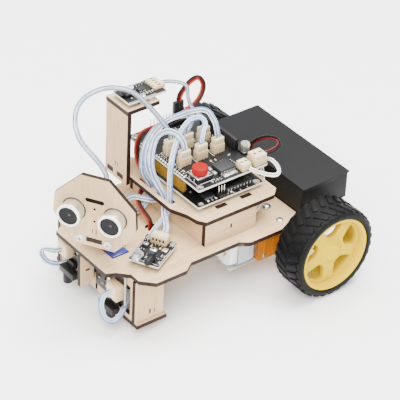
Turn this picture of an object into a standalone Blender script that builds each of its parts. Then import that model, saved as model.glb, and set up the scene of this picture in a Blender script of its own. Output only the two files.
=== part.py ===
"""Two-wheel robot car kit: laser-cut plywood decks, a sonar head on a servo,
a ball caster, two gear motors with wheels, a controller with its shield, a
battery box, and the leads between them.

Lengths below are millimetres and become metres as each shape is made. The
car faces -Y, +X is its left side and z = 0 is the ground. Places are given
in the axle frame, whose origin is on the ground under the middle of the
wheel axle; an empty carries that frame to its place in the model.
"""

from math import cos, pi, radians, sin

import bmesh
import bpy
from mathutils import Vector

MM = 0.001
GAP = 0.3                       # clearance between pieces that touch
AXLE_Y = 62.7                   # axle line behind the middle of the car

# Wheels and axle
WHEEL_RADIUS = 32.5
AXLE_HEIGHT = WHEEL_RADIUS
TYRE_TOP = 2 * WHEEL_RADIUS
TYRE_INNER_X = 55.0
TYRE_OUTER_X = 80.5
RIM_RADIUS = 26.4
RIM_WALL = 2.6
HUB_RADIUS = 6.0
SPOKES = 5
SHAFT_RADIUS = 2.7

# Gear motors
MOTOR_X = 35.9                  # middle of each gearbox
GEARBOX_WIDTH = 18.8
GEARBOX_FRONT = -36.0
GEARBOX_REAR = 11.5
GEARBOX_HEIGHT = 22.4
CAN_LENGTH = 21.7
GEAR_MODULE = 0.75
OUTPUT_TEETH = 22
SMALL_TEETH = 10
CROWN_TEETH = 16
PINION_TEETH = 6

# Decks
PLY = 3.0
LOWER_TOP = 47.0
UPPER_TOP = 67.2
LOWER_BOTTOM = LOWER_TOP - PLY
UPPER_BOTTOM = UPPER_TOP - PLY
MAST_FRONT_Y = -91.3
SHELF_TOP = 118.3

# Sonar head, measured from the servo axis
SERVO_Y = -126.7
HEAD_YAW = radians(31.0)
FACE_HEIGHT = 80.7
FACE_FRONT = -18.0
EYE_SPACING = 28.0
EYE_RADIUS = 7.9
EYE_REACH = 9.5

# Circuit boards
PCB = 1.6
CONTROLLER_BOTTOM = 70.0
SHIELD_BOTTOM = 83.0
SHIELD_TOP = SHIELD_BOTTOM + PCB
BUTTON_PLACE = (18.5, -67.0)

# Battery box
BOX_HALF_LENGTH = 48.0
BOX_FRONT_Y = -4.9
BOX_REAR_Y = 34.9
BOX_BOTTOM = LOWER_TOP + GAP
BOX_RIM = 66.8
BOX_WALL = 1.1
LID_THICKNESS = 1.0
CELL_RADIUS = 9.15

# Ball caster
CASTER_Y = -98.0
BALL_RADIUS = 7.5

# Leads
LEAD_RADIUS = 0.9
RIBBON_RADIUS = 1.2

COLOURS = {
    "ply": (0.80, 0.66, 0.47, 0.55, 0.0),
    "tyre": (0.02, 0.02, 0.02, 0.85, 0.0),
    "yellow": (0.90, 0.66, 0.02, 0.45, 0.0),
    "orange": (0.90, 0.42, 0.03, 0.45, 0.0),
    "pcb": (0.02, 0.02, 0.02, 0.40, 0.0),
    "black": (0.02, 0.02, 0.02, 0.50, 0.0),
    "box": (0.06, 0.06, 0.065, 0.55, 0.0),
    "white": (0.85, 0.85, 0.83, 0.50, 0.0),
    "metal": (0.70, 0.70, 0.70, 0.30, 1.0),
    "brass": (0.75, 0.56, 0.25, 0.35, 1.0),
    "blue": (0.02, 0.05, 0.35, 0.35, 0.0),
    "red": (0.80, 0.05, 0.03, 0.40, 0.0),
    "cell": (0.05, 0.25, 0.20, 0.40, 0.0),
    "clear": (0.75, 0.82, 0.88, 0.30, 0.0),
    "servo_wire": (0.70, 0.12, 0.03, 0.45, 0.0),
    "battery_wire": (0.45, 0.02, 0.02, 0.45, 0.0),
}


# ---------------------------------------------------------------- set-up

def clear_scene():
    for obj in list(bpy.data.objects):
        bpy.data.objects.remove(obj, do_unlink=True)


def new_collection(name):
    made = bpy.data.collections.new(name)
    bpy.context.scene.collection.children.link(made)
    return made


def make_material(name):
    red, green, blue, roughness, metallic = COLOURS[name]
    made = bpy.data.materials.new(name)
    made.use_nodes = True
    shader = made.node_tree.nodes["Principled BSDF"]
    shader.inputs["Base Color"].default_value = (red, green, blue, 1.0)
    shader.inputs["Roughness"].default_value = roughness
    shader.inputs["Metallic"].default_value = metallic
    return made


def empty(name, place, parent=None, yaw=0.0):
    made = bpy.data.objects.new(name, None)
    PARTS.objects.link(made)
    made.location = Vector(place) * MM
    made.rotation_euler = (0.0, 0.0, yaw)
    made.parent = parent
    return made


def settle(obj, parent, material, collection=None):
    """Put a new object in its collection, under its frame, in its colour."""
    (collection or PARTS).objects.link(obj)
    obj.parent = parent
    if material:
        obj.data.materials.append(MATERIALS[material])
    return obj


# ---------------------------------------------------------------- shapes

def mesh_object(name, bm):
    mesh = bpy.data.meshes.new(name)
    bm.to_mesh(mesh)
    bm.free()
    return bpy.data.objects.new(name, mesh)


def raw_box(name, x, y, z):
    """A box from its (low, high) pairs."""
    bm = bmesh.new()
    bmesh.ops.create_cube(bm, size=1.0)
    size = [(high - low) * MM for low, high in (x, y, z)]
    bmesh.ops.scale(bm, vec=size, verts=bm.verts)
    obj = mesh_object(name, bm)
    obj.location = [(low + high) / 2 * MM for low, high in (x, y, z)]
    return obj


def raw_rod(name, radius, start, end, sides=24, end_radius=None):
    """A cylinder, or a cone, from one point to another."""
    start, end = Vector(start) * MM, Vector(end) * MM
    bm = bmesh.new()
    bmesh.ops.create_cone(
        bm, cap_ends=True, segments=sides, radius1=radius * MM,
        radius2=(radius if end_radius is None else end_radius) * MM,
        depth=(end - start).length,
    )
    turn = (end - start).to_track_quat("Z", "Y").to_matrix()
    bmesh.ops.rotate(bm, matrix=turn, verts=bm.verts)
    obj = mesh_object(name, bm)
    obj.location = (start + end) / 2
    obj.data.shade_smooth()
    obj.data.set_sharp_from_angle(angle=radians(40))
    return obj


def raw_outline(name, rings, thickness, place=(0, 0, 0), turn=(0, 0, 0)):
    """A flat plate, centred on its own plane, from closed rings of points."""
    curve = bpy.data.curves.new(name, "CURVE")
    curve.dimensions = "2D"
    curve.fill_mode = "BOTH"
    curve.extrude = thickness / 2 * MM
    for ring in rings:
        spline = curve.splines.new("POLY")
        spline.points.add(len(ring) - 1)
        for point, (x, y) in zip(spline.points, ring):
            point.co = (x * MM, y * MM, 0.0, 1.0)
        spline.use_cyclic_u = True
    obj = bpy.data.objects.new(name, curve)
    obj.location = Vector(place) * MM
    obj.rotation_euler = turn
    return obj


def box(name, x, y, z, material, parent):
    return settle(raw_box(name, x, y, z), parent, material)


def rod(name, radius, start, end, material, parent, sides=24):
    return settle(raw_rod(name, radius, start, end, sides), parent, material)


def plate(name, rings, thickness, place, turn, material, parent):
    return settle(raw_outline(name, rings, thickness, place, turn), parent, material)


def guide(obj, parent):
    """Hide an object that only shapes another one."""
    settle(obj, parent, None, CUTTERS)
    obj.hide_render = True
    obj.display_type = "WIRE"
    return obj


def combine(target, other, operation):
    step = target.modifiers.new(operation.title(), "BOOLEAN")
    step.operation = operation
    step.solver = "EXACT"
    step.object = guide(other, target.parent)


def join(target, *others):
    for other in others:
        combine(target, other, "UNION")


def cut(target, *others):
    for other in others:
        combine(target, other, "DIFFERENCE")


def rectangle(x, y):
    return [(x[0], y[0]), (x[1], y[0]), (x[1], y[1]), (x[0], y[1])]


def circle(x, y, radius, sides=16):
    turns = [2 * pi * k / sides for k in range(sides)]
    return [(x + radius * cos(a), y + radius * sin(a)) for a in turns]


def slot_ring(x, y, half_length, radius, sides=6):
    """A slot with round ends, along X."""
    right = [(-pi / 2 + pi * k / sides, x + half_length) for k in range(sides + 1)]
    left = [(pi / 2 + pi * k / sides, x - half_length) for k in range(sides + 1)]
    return [(cx + radius * cos(a), y + radius * sin(a)) for a, cx in right + left]


def mirrored(half):
    """A closed ring from its +X half, listed front to rear."""
    return half + [(-x, y) for x, y in reversed(half)]


def turned(name, profile, sides=48):
    """A mesh of a closed profile of (radius, height) turned about Z."""
    bm = bmesh.new()
    verts = [bm.verts.new((radius * MM, 0.0, height * MM)) for radius, height in profile]
    for first, second in zip(verts, verts[1:] + verts[:1]):
        bm.edges.new((first, second))
    obj = mesh_object(name, bm)
    screw = obj.modifiers.new("Screw", "SCREW")
    screw.steps = sides
    screw.render_steps = sides
    screw.use_merge_vertices = True
    screw.merge_threshold = 0.00001
    screw.use_smooth_shade = True
    return obj


def along_x(obj, x, y=0.0, z=AXLE_HEIGHT, side=1):
    """Turn an object from the Z axis onto the X axis, outwards on its side."""
    obj.rotation_euler = (0.0, side * pi / 2, 0.0)
    obj.location = Vector((side * x, y, z)) * MM
    return obj


def smooth_route(points, spacing):
    """Evenly spaced points on a smooth curve through a lead's route."""
    knots = [Vector(p) for p in points]
    knots = [2 * knots[0] - knots[1]] + knots + [2 * knots[-1] - knots[-2]]
    fine = []
    for a, b, c, d in zip(knots, knots[1:], knots[2:], knots[3:]):
        for k in range(12):
            t = k / 12
            fine.append(0.5 * (2 * b + (c - a) * t + (2 * a - 5 * b + 4 * c - d) * t * t
                               + (3 * b - a - 3 * c + d) * t ** 3))
    fine.append(knots[-2])
    length = sum((q - p).length for p, q in zip(fine, fine[1:]))
    count = max(4, round(length / spacing))
    even, walked, target = [fine[0]], 0.0, length / count
    for p, q in zip(fine, fine[1:]):
        step = (q - p).length
        while walked + step >= target and len(even) < count:
            even.append(p.lerp(q, (target - walked) / step))
            target += length / count
        walked += step
    return even + [fine[-1]]


def lead(name, points, radius, material, parent, spacing=5.0):
    curve = bpy.data.curves.new(name, "CURVE")
    curve.dimensions = "3D"
    curve.bevel_depth = radius * MM
    curve.bevel_resolution = 2
    curve.use_fill_caps = True
    spline = curve.splines.new("POLY")
    route = smooth_route(points, spacing)
    spline.points.add(len(route) - 1)
    for point, place in zip(spline.points, route):
        point.co = (*(place * MM), 1.0)
    return settle(bpy.data.objects.new(name, curve), parent, material)


# ---------------------------------------------------------------- decks

def lower_deck():
    half = [(27.6, -146), (30.2, -140.3), (37.4, -133.2), (45.3, -133.4),
            (53.5, -125.4), (53.5, -101.9), (48.3, -94.6), (48.3, -56.3),
            (52.8, -50.1), (52.8, -23.8), (44.6, -6.8), (44.6, 36.0)]
    holes = [
        rectangle((-6.4, 17.4), (-133.3, -120.1)),
        circle(3.6, -93.0, 4.2),
        circle(11.5, -99.5, 3.4),
        circle(-11.5, -99.5, 3.4),
        circle(35.6, -62.0, 2.6, 12),
        circle(-35.6, -62.0, 2.6, 12),
    ]
    plate("lower_deck", [mirrored(half)] + holes, PLY,
          (0, 0, LOWER_TOP - PLY / 2), (0, 0, 0), "ply", CAR)


UPPER_TABS = ((-63.0, -55.0), (-43.0, -35.0))
MAST_TABS = ((-48.0, -42.0), (-37.0, -31.0))


def upper_deck():
    near = [(16.1, -88.0), (28.0, -83.0), (36.0, -81.7), (41.4, -78.1),
            (41.5, -22.9), (36.5, -17.3)]
    far = [(-36.5, -17.3), (-41.5, -22.9), (-41.5, -70.0), (-50.5, -79.0), (-50.5, -88.0)]
    tabs = []
    for left, right in MAST_TABS:
        tabs += [(left, -88.0), (left, -91.0), (right, -91.0), (right, -88.0)]
    holes = [rectangle((-22.0, -9.0), (-84.8, -80.8)), rectangle((-3.0, 12.5), (-84.8, -80.8))]
    for low, high in UPPER_TABS:
        for side in (1, -1):
            edges = sorted((side * (30.5 - GAP), side * (33.5 + GAP)))
            holes.append(rectangle(edges, (low - GAP, high + GAP)))
    plate("upper_deck", [near + far + tabs] + holes, PLY,
          (0, 0, UPPER_TOP - PLY / 2), (0, 0, 0), "ply", CAR)


STAND_Z = (LOWER_TOP + GAP, UPPER_BOTTOM - GAP)
FACING_X = (pi / 2, 0.0, pi / 2)        # plate drawn in (y, z), thick along X
FACING_Y = (pi / 2, 0.0, 0.0)           # plate drawn in (x, z), thick along Y


def deck_supports():
    low, high = STAND_Z
    tab_top = UPPER_TOP - GAP
    for side, word in ((1, "left"), (-1, "right")):
        outer = [rectangle((-78.0, -36.7), STAND_Z), rectangle((-57.6, -56.4), (54.4, 57.6))]
        plate(f"side_panel_{word}", outer, PLY, (side * 39.2, 0, 0), FACING_X, "ply", CAR)
        ring = [(-64.0, low), (-34.0, low), (-34.0, high)]
        for tab_low, tab_high in reversed(UPPER_TABS):
            ring += [(tab_high, high), (tab_high, tab_top), (tab_low, tab_top), (tab_low, high)]
        ring.append((-64.0, high))
        plate(f"inner_rib_{word}", [ring], PLY, (side * 32.0, 0, 0), FACING_X, "ply", CAR)
    box("front_cross_panel", (-37.3, 37.3), (-78.0, -75.0), STAND_Z, "ply", CAR)


def mast():
    left, right = -50.5, -27.0
    rings = [rectangle((left, right), (61.5, SHELF_TOP - PLY - GAP))]
    for tab_left, tab_right in MAST_TABS:
        rings.append(rectangle((tab_left - GAP, tab_right + GAP),
                               (UPPER_BOTTOM - GAP, UPPER_TOP + GAP)))
    plate("mast", rings, PLY, (0, MAST_FRONT_Y + PLY / 2, 0), FACING_Y, "ply", CAR)
    box("mast_shelf", (left - 0.5, right), (MAST_FRONT_Y, -66.0),
        (SHELF_TOP - PLY, SHELF_TOP), "ply", CAR)


def mast_sensor():
    board_z = (121.0, 121.0 + PCB)
    board = box("mast_sensor", (-47.0, -29.0), (-89.0, -59.0), board_z, "pcb", CAR)
    top = board_z[1] - 0.4
    join(board,
         raw_box("mast_receiver", (-43.0, -34.0), (-86.5, -79.5), (top, 125.2)),
         raw_box("mast_socket", (-43.5, -32.5), (-66.0, -57.5), (top, 125.6)),
         raw_rod("mast_standoff_far", 2.2, (-44, -84.0, SHELF_TOP + GAP), (-44, -84.0, 121.4), 12),
         raw_rod("mast_standoff_near", 2.2, (-32, -70.0, SHELF_TOP + GAP), (-32, -70.0, 121.4), 12))


# ---------------------------------------------------------------- nose and pods

def nose():
    front, rear, low, high = -146.0, -135.6, 19.0, LOWER_BOTTOM - GAP
    corner = [(rear - 4.0 + 4.0 * cos(a), low + 4.0 - 4.0 * sin(a))
              for a in (0.0, pi / 6, pi / 3, pi / 2)]
    ring = [(front, low), (front, high), (rear, high)] + corner
    slot = rectangle((-142.0, -138.5), (30.0, 31.4))
    plate("nose_post", [ring, slot], PLY, (-1.5, 0, 0), FACING_X, "ply", CAR)


POD_FRONT_Y = (-133.1, -130.1)
SERVO_BOTTOM = 25.3
EAR_BOTTOM = 41.2
SERVO_CLEARANCE = {"left": (17.4, 22.2), "right": (6.4, 11.2)}  # past its body, past its ears


def pod(side, word):
    def across(*values):
        return sorted(side * value for value in values)

    high = LOWER_BOTTOM - GAP
    edge, ear = SERVO_CLEARANCE[word]
    outline = [(1.0, 11.3), (39.6, 11.3), (39.6, high), (ear, high), (ear, EAR_BOTTOM - 0.5),
               (edge, EAR_BOTTOM - 0.5), (edge, SERVO_BOTTOM - 0.5), (1.0, SERVO_BOTTOM - 0.5)]
    front = [[(side * x, z) for x, z in outline],
             rectangle(across(22.0, 36.6), (14.0, 36.5))]
    plate(f"pod_front_{word}", front, PLY, (0, sum(POD_FRONT_Y) / 2, 0),
          FACING_Y, "ply", CAR)
    flank = [rectangle((-134.0, -111.6), (11.3, high)),
             rectangle((-122.6, -121.4), (15.0, 18.5))]
    plate(f"pod_side_{word}", flank, PLY, (side * 41.5, 0, 0), FACING_X, "ply", CAR)
    box(f"pod_base_{word}", across(24.0, 45.0), (-133.5, -110.0), (8.0, 11.0), "ply", CAR)


def line_sensor(side, word):
    def across(*values):
        return sorted(side * value for value in values)

    board = box(f"line_sensor_{word}", across(2.0, 33.0), (-135.3, -133.7),
                (19.4, 42.0), "pcb", CAR)
    centre = side * 24.0
    join(board,
         raw_box(f"line_socket_{word}", across(22.0, 33.0), (-141.5, -134.9), (25.0, 36.5)),
         raw_box(f"line_neck_{word}", across(20.0, 28.0), (-137.6, -135.0), (15.0, 22.0)),
         raw_box(f"line_head_{word}", across(14.0, 30.0), (-142.0, -136.0), (13.0, 17.5)),
         raw_rod(f"line_eye_{word}", 3.2, (centre, -139.0, 6.0), (centre, -139.0, 14.0), 16))


# ---------------------------------------------------------------- front sensors

def obstacle_sensor(side, word):
    """A yawed board whose lamps look forwards and outwards."""
    holder = empty(f"obstacle_frame_{word}", (side * 29.7, -110.9, 0), CAR,
                   side * radians(28.0))
    board = box(f"obstacle_sensor_{word}", (-10.6, 10.6), (-14.5, 14.5),
                (50.0, 50.0 + PCB), "pcb", holder)
    top = 50.0 + PCB - 0.4
    join(board,
         raw_box(f"obstacle_socket_{word}", (-5.6, 5.6), (7.0, 14.0), (top, 57.6)),
         raw_rod(f"obstacle_lamp_{word}", 2.5, (-5.0, -9.0, 53.9), (-5.0, -17.5, 53.9), 16),
         raw_box(f"obstacle_seat_{word}", (-7.5, -2.5), (-12.0, -8.5), (top, 54.5)),
         raw_rod(f"obstacle_eye_{word}", 2.5, (3.5, -9.0, 53.9), (3.5, -17.5, 53.9), 16),
         raw_box(f"obstacle_perch_{word}", (1.0, 6.0), (-12.0, -8.5), (top, 54.5)),
         raw_rod(f"obstacle_foot_{word}", 2.4, (0, 0.0, LOWER_TOP + GAP), (0, 0.0, 50.4), 12))


# ---------------------------------------------------------------- head

def servo():
    body = box("servo_body", (-5.9, 16.9), (SERVO_Y - 6.1, SERVO_Y + 6.1),
               (SERVO_BOTTOM, 48.0), "blue", CAR)
    join(body,
         raw_box("servo_ears", (-10.6, 21.6), (SERVO_Y - 6.0, SERVO_Y + 6.0),
                 (EAR_BOTTOM, EAR_BOTTOM + 2.5)),
         raw_rod("servo_boss", 5.8, (0, SERVO_Y, 47.5), (0, SERVO_Y, 51.6)),
         raw_rod("servo_spline", 2.3, (0, SERVO_Y, 51.2), (0, SERVO_Y, 54.9), 16))


def head():
    horn = rod("servo_horn", 3.6, (0, 0, 55.2), (0, 0, 58.2), "white", HEAD)
    join(horn, raw_box("horn_arm", (-2.2, 2.2), (-9.5, 9.5), (56.4, 58.2)))
    bracket = [(-11, -14.7), (-5.2, -14.7), (-5.2, -17.9), (5.2, -17.9), (5.2, -14.7),
               (11, -14.7), (11, 9.0), (-11, 9.0)]
    plate("head_bracket", [bracket, circle(0, 0, 1.2, 12)], PLY, (0, 0, 60.0),
          (0, 0, 0), "ply", HEAD)
    half = [(14.0, -25.5), (22.0, -16.5), (28.3, -5.0), (27.5, 8.7), (9.4, 26.9)]
    eye = EYE_SPACING / 2
    rings = [mirrored(half)]
    rings += [circle(side * eye, 0, EYE_RADIUS + GAP, 28) for side in (1, -1)]
    rings += [slot_ring(0, 9.4, 5.0, 1.5), circle(0, 3.4, 0.9, 10), circle(0, -5.9, 0.9, 10),
              rectangle((-5.5, 5.5), (-22.5, -18.9)),
              circle(9.5, -21.1, 1.7, 12), circle(-9.5, -21.1, 1.7, 12)]
    plate("head_face", rings, PLY, (0, FACE_FRONT + PLY / 2, FACE_HEIGHT), FACING_Y, "ply", HEAD)
    sonar_sensor()


def sonar_sensor():
    """The board behind the face, its two eyes, and its plug on the servo axis."""
    back = FACE_FRONT + PLY + GAP
    board = box("sonar_sensor", (-22.5, 22.5), (back, back + PCB),
                (FACE_HEIGHT - 10, FACE_HEIGHT + 10), "pcb", HEAD)
    join(board,
         raw_box("sonar_socket", (-6.0, 6.0), (back + PCB - 0.4, -6.0), (83.0, 89.5)),
         raw_box("sonar_plug", (-5.2, 5.2), (-6.5, 2.6), (83.4, 89.1)),
         raw_box("sonar_boot", (-2.6, 2.6), (-1.6, 2.2), (88.6, 93.0)))
    front = FACE_FRONT - EYE_REACH
    for x in (EYE_SPACING / 2, -EYE_SPACING / 2):
        join(board, raw_rod("sonar_eye", EYE_RADIUS, (x, front, FACE_HEIGHT),
                            (x, back + 0.5, FACE_HEIGHT), 28))
        cut(board, raw_rod("sonar_mouth", EYE_RADIUS - 1.3, (x, front - 1.0, FACE_HEIGHT),
                           (x, front + 2.0, FACE_HEIGHT), 28))


# ---------------------------------------------------------------- drive

def teeth_ring(teeth, phase=0.0):
    """The outline of a spur gear with straight-sided teeth."""
    pitch = teeth * GEAR_MODULE / 2
    tip, root = pitch + 0.8 * GEAR_MODULE, pitch - 1.1 * GEAR_MODULE
    step = 2 * pi / teeth
    ring = []
    for k in range(teeth):
        middle = phase + k * step
        for radius, share in ((root, -0.27), (tip, -0.12), (tip, 0.12), (root, 0.27)):
            angle = middle + share * step
            ring.append((radius * cos(angle), radius * sin(angle)))
    return ring


def gear(name, teeth, x, width, phase=0.0):
    """A spur gear about the X axis, with its middle at x."""
    return as_mesh(raw_outline(name, [teeth_ring(teeth, phase)], width, (x, 0, 0), FACING_X))


def as_mesh(curve_object):
    """Turn a curve object into a mesh object, with its caps welded on."""
    bpy.context.view_layer.update()
    source = curve_object.evaluated_get(bpy.context.evaluated_depsgraph_get())
    mesh = bpy.data.meshes.new_from_object(source)
    bm = bmesh.new()
    bm.from_mesh(mesh)
    bmesh.ops.remove_doubles(bm, verts=bm.verts, dist=0.000001)
    bm.to_mesh(mesh)
    bm.free()
    name, place = curve_object.name, curve_object.location.copy()
    turn = curve_object.rotation_euler.copy()
    bpy.data.objects.remove(curve_object, do_unlink=True)
    made = bpy.data.objects.new(name, mesh)
    made.location = place
    made.rotation_euler = turn
    return made


GEAR_OFFSET = 4.2               # output and small gears, outwards from the box's middle
CROWN_OFFSET = 4.3              # crown gear, inwards from it
REDUCTION_Y = -(OUTPUT_TEETH + SMALL_TEETH) * GEAR_MODULE / 2
CROWN_RADIUS = CROWN_TEETH * GEAR_MODULE / 2


def motor(side, word):
    inner, outer = MOTOR_X - GEARBOX_WIDTH / 2, MOTOR_X + GEARBOX_WIDTH / 2
    low, high = AXLE_HEIGHT - GEARBOX_HEIGHT / 2, AXLE_HEIGHT + GEARBOX_HEIGHT / 2

    def across(*values):
        return sorted(side * value for value in values)

    shell = box(f"gearbox_{word}", across(inner, outer), (GEARBOX_FRONT, GEARBOX_REAR),
                (low, high), "orange", CAR)
    cut(shell,
        raw_box(f"gear_room_{word}", across(inner + 1.8, outer - 1.8),
                (GEARBOX_FRONT + 2.0, GEARBOX_REAR - 1.8), (low + 1.8, high - 1.8)),
        raw_rod(f"shaft_way_{word}", SHAFT_RADIUS + 0.5, (side * (inner - 3), 0, AXLE_HEIGHT),
                (side * (outer + 3), 0, AXLE_HEIGHT)),
        raw_rod(f"pinion_way_{word}", 3.2, (side * MOTOR_X, GEARBOX_FRONT - 3, AXLE_HEIGHT),
                (side * MOTOR_X, GEARBOX_FRONT + 4, AXLE_HEIGHT)))
    can_front = GEARBOX_FRONT - GAP - CAN_LENGTH
    can = rod(f"motor_can_{word}", 10.0, (side * MOTOR_X, can_front, AXLE_HEIGHT),
              (side * MOTOR_X, GEARBOX_FRONT - GAP, AXLE_HEIGHT), "metal", CAR, 32)
    for edge in (7.7, -7.7):
        reach = 4.0 if edge > 0 else -4.0
        cut(can, raw_box(f"can_flat_{word}", sorted((side * MOTOR_X + edge,
                         side * MOTOR_X + edge + reach)),
                         (can_front - 2, GEARBOX_FRONT + 2), (low - 5, high + 5)))
    cut(can, raw_rod(f"rotor_way_{word}", 1.5, (side * MOTOR_X, can_front + 4, AXLE_HEIGHT),
                     (side * MOTOR_X, GEARBOX_FRONT + 1, AXLE_HEIGHT), 16))


def drive_train(side, word, wheel_axis):
    """The shaft with its output gear, and the gears that drive it."""
    axle = rod(f"output_gear_{word}", SHAFT_RADIUS, (side * (MOTOR_X - 13.5), 0, 0),
               (side * 74.0, 0, 0), "white", wheel_axis)
    gear_x, crown_x = side * (MOTOR_X + GEAR_OFFSET), side * (MOTOR_X - CROWN_OFFSET)
    join(axle, gear(f"output_teeth_{word}", OUTPUT_TEETH, gear_x, 4.0))
    reduction = empty(f"reduction_axis_{word}", (0, REDUCTION_Y, AXLE_HEIGHT), CAR)
    half_tooth = pi / SMALL_TEETH
    small = settle(gear(f"reduction_gear_{word}", SMALL_TEETH, gear_x, 4.4, half_tooth),
                   reduction, "white")
    join(small, gear(f"crown_{word}", CROWN_TEETH, crown_x, 2.0),
         raw_rod(f"reduction_shaft_{word}", 1.5, (side * (MOTOR_X - 7.2), 0, 0),
                 (side * (MOTOR_X + 7.2), 0, 0), 16))
    rotor = empty(f"rotor_axis_{word}", (side * MOTOR_X, 0, AXLE_HEIGHT), CAR)
    pinion_front = REDUCTION_Y - CROWN_RADIUS - 0.6
    pinion = settle(as_mesh(raw_outline(f"motor_pinion_{word}", [teeth_ring(PINION_TEETH)], 4.0,
                                        (0, pinion_front, 0), FACING_Y)), rotor, "brass")
    join(pinion, raw_rod(f"rotor_shaft_{word}", 1.0, (0, GEARBOX_FRONT - 12.0, 0),
                         (0, pinion_front + 1.0, 0), 16))


def wheel(side, word):
    axis = empty(f"wheel_axis_{word}", (0, 0, AXLE_HEIGHT), CAR)
    width = TYRE_OUTER_X - TYRE_INNER_X
    half = width / 2
    middle = (TYRE_OUTER_X + TYRE_INNER_X) / 2
    seat = RIM_RADIUS + GAP
    tyre_profile = [(WHEEL_RADIUS, half - 4.0), (WHEEL_RADIUS, -half + 4.0),
                    (WHEEL_RADIUS - 2.0, -half + 1.0), (seat + 1.0, -half),
                    (seat, -half + 1.0), (seat, half - 1.0), (seat + 1.0, half),
                    (WHEEL_RADIUS - 2.0, half - 1.0)]
    tyre = settle(turned(f"tyre_{word}", tyre_profile), axis, "tyre")
    along_x(tyre, middle, 0, 0, side)
    barrel = [(RIM_RADIUS, half - 0.5), (RIM_RADIUS, -half + 0.5),
              (RIM_RADIUS - RIM_WALL, -half + 0.5), (RIM_RADIUS - RIM_WALL, half - 0.5)]
    rim = settle(turned(f"rim_{word}", barrel), axis, "yellow")
    along_x(rim, middle, 0, 0, side)
    disc = wheel_disc(word)
    along_x(disc, TYRE_OUTER_X - 8.0, 0, 0, side)
    join(rim, disc,
         raw_rod(f"hub_{word}", HUB_RADIUS, (side * 60.0, 0, 0), (side * 77.0, 0, 0), 32))
    cut(rim, raw_rod(f"hub_bore_{word}", SHAFT_RADIUS + GAP, (side * 50.0, 0, 0),
                     (side * (74.0 + GAP), 0, 0)))
    drive_train(side, word, axis)


def wheel_disc(word):
    """The disc of the wheel, with a window between each pair of spokes."""
    rings = [circle(0, 0, RIM_RADIUS - RIM_WALL / 2, 48)]
    for k in range(SPOKES):
        turn = (2 * k + 1) * pi / SPOKES
        window = [(11.5, -0.20), (21.6, -0.44), (22.6, 0.0), (21.6, 0.44), (11.5, 0.20)]
        rings.append([(r * cos(turn + a), r * sin(turn + a)) for r, a in window])
    return as_mesh(raw_outline(f"spoke_disc_{word}", rings, 4.0))


def caster():
    low, high = 4.0, 16.5
    cup = rod("caster_cup", 10.0, (0, CASTER_Y, low), (0, CASTER_Y, high), "black", CAR, 32)
    join(cup, raw_box("caster_flange", (-17.0, 17.0), (CASTER_Y - 6, CASTER_Y + 6),
                      (high - 0.5, high + 2.0)))
    ball_room = bmesh.new()
    bmesh.ops.create_uvsphere(ball_room, u_segments=32, v_segments=16,
                              radius=(BALL_RADIUS + 0.4) * MM)
    room = mesh_object("ball_room", ball_room)
    room.location = Vector((0, CASTER_Y, BALL_RADIUS)) * MM
    cut(cup, room)
    for x in (13.5, -13.5):
        join(cup, raw_rod("caster_pillar", 2.5, (x, CASTER_Y + 3.0, high + 1.6),
                          (x, CASTER_Y + 3.0, LOWER_BOTTOM - GAP), 12))
    shape = bmesh.new()
    bmesh.ops.create_uvsphere(shape, u_segments=24, v_segments=12, radius=BALL_RADIUS * MM)
    ball = settle(mesh_object("caster_ball", shape), CAR, "metal")
    ball.location = Vector((0, CASTER_Y, BALL_RADIUS)) * MM


# ---------------------------------------------------------------- battery

def battery():
    end = BOX_HALF_LENGTH
    tub = box("battery_box", (-end, end), (BOX_FRONT_Y, BOX_REAR_Y),
              (BOX_BOTTOM, BOX_RIM), "box", CAR)
    cut(tub,
        raw_box("cell_room", (-end + BOX_WALL, end - BOX_WALL),
                (BOX_FRONT_Y + BOX_WALL, BOX_REAR_Y - BOX_WALL), (BOX_BOTTOM + 1.0, 80.0)),
        raw_box("switch_way", (-43.0, -33.0), (BOX_REAR_Y - 3, BOX_REAR_Y + 3), (55.0, 60.0)))
    join(tub, raw_box("bay_wall", (-28.0, -26.5), (BOX_FRONT_Y + 0.5, BOX_REAR_Y - 0.5),
                      (BOX_BOTTOM + 0.5, 62.0)))
    middle = (BOX_FRONT_Y + BOX_REAR_Y) / 2
    for sign, word in ((-1, "front"), (1, "rear")):
        y = middle + sign * (CELL_RADIUS + 0.15)
        z = BOX_BOTTOM + 1.0 + GAP + CELL_RADIUS
        rod(f"cell_{word}", CELL_RADIUS, (-23.0, y, z), (42.0, y, z), "cell", CAR, 24)
    lid = box("battery_lid", (-end, end + 1.3), (BOX_FRONT_Y, BOX_REAR_Y),
              (BOX_RIM + GAP, BOX_RIM + GAP + LID_THICKNESS), "box", LID)
    join(lid, raw_box("lid_lip", (end + GAP, end + 1.3), (BOX_FRONT_Y + 0.5, 24.0),
                      (TYRE_TOP + 0.5, BOX_RIM + GAP + 0.5)))
    knob = box("power_switch", (-41.0, -37.0), (BOX_REAR_Y - 0.8, BOX_REAR_Y + 1.2),
               (55.8, 59.2), "black", SWITCH)
    join(knob, raw_box("switch_slide", (-41.6, -36.4), (BOX_REAR_Y - 3.2, BOX_REAR_Y - 1.1 - GAP),
                       (55.0, 60.0)),
         raw_box("switch_stem", (-40.5, -37.5), (BOX_REAR_Y - 2.0, BOX_REAR_Y - 0.5),
                 (56.3, 58.7)))


# ---------------------------------------------------------------- electronics

CONTROLLER_X = (-37.8, 30.8)
BOARD_FRONT_Y = -76.6


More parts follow.
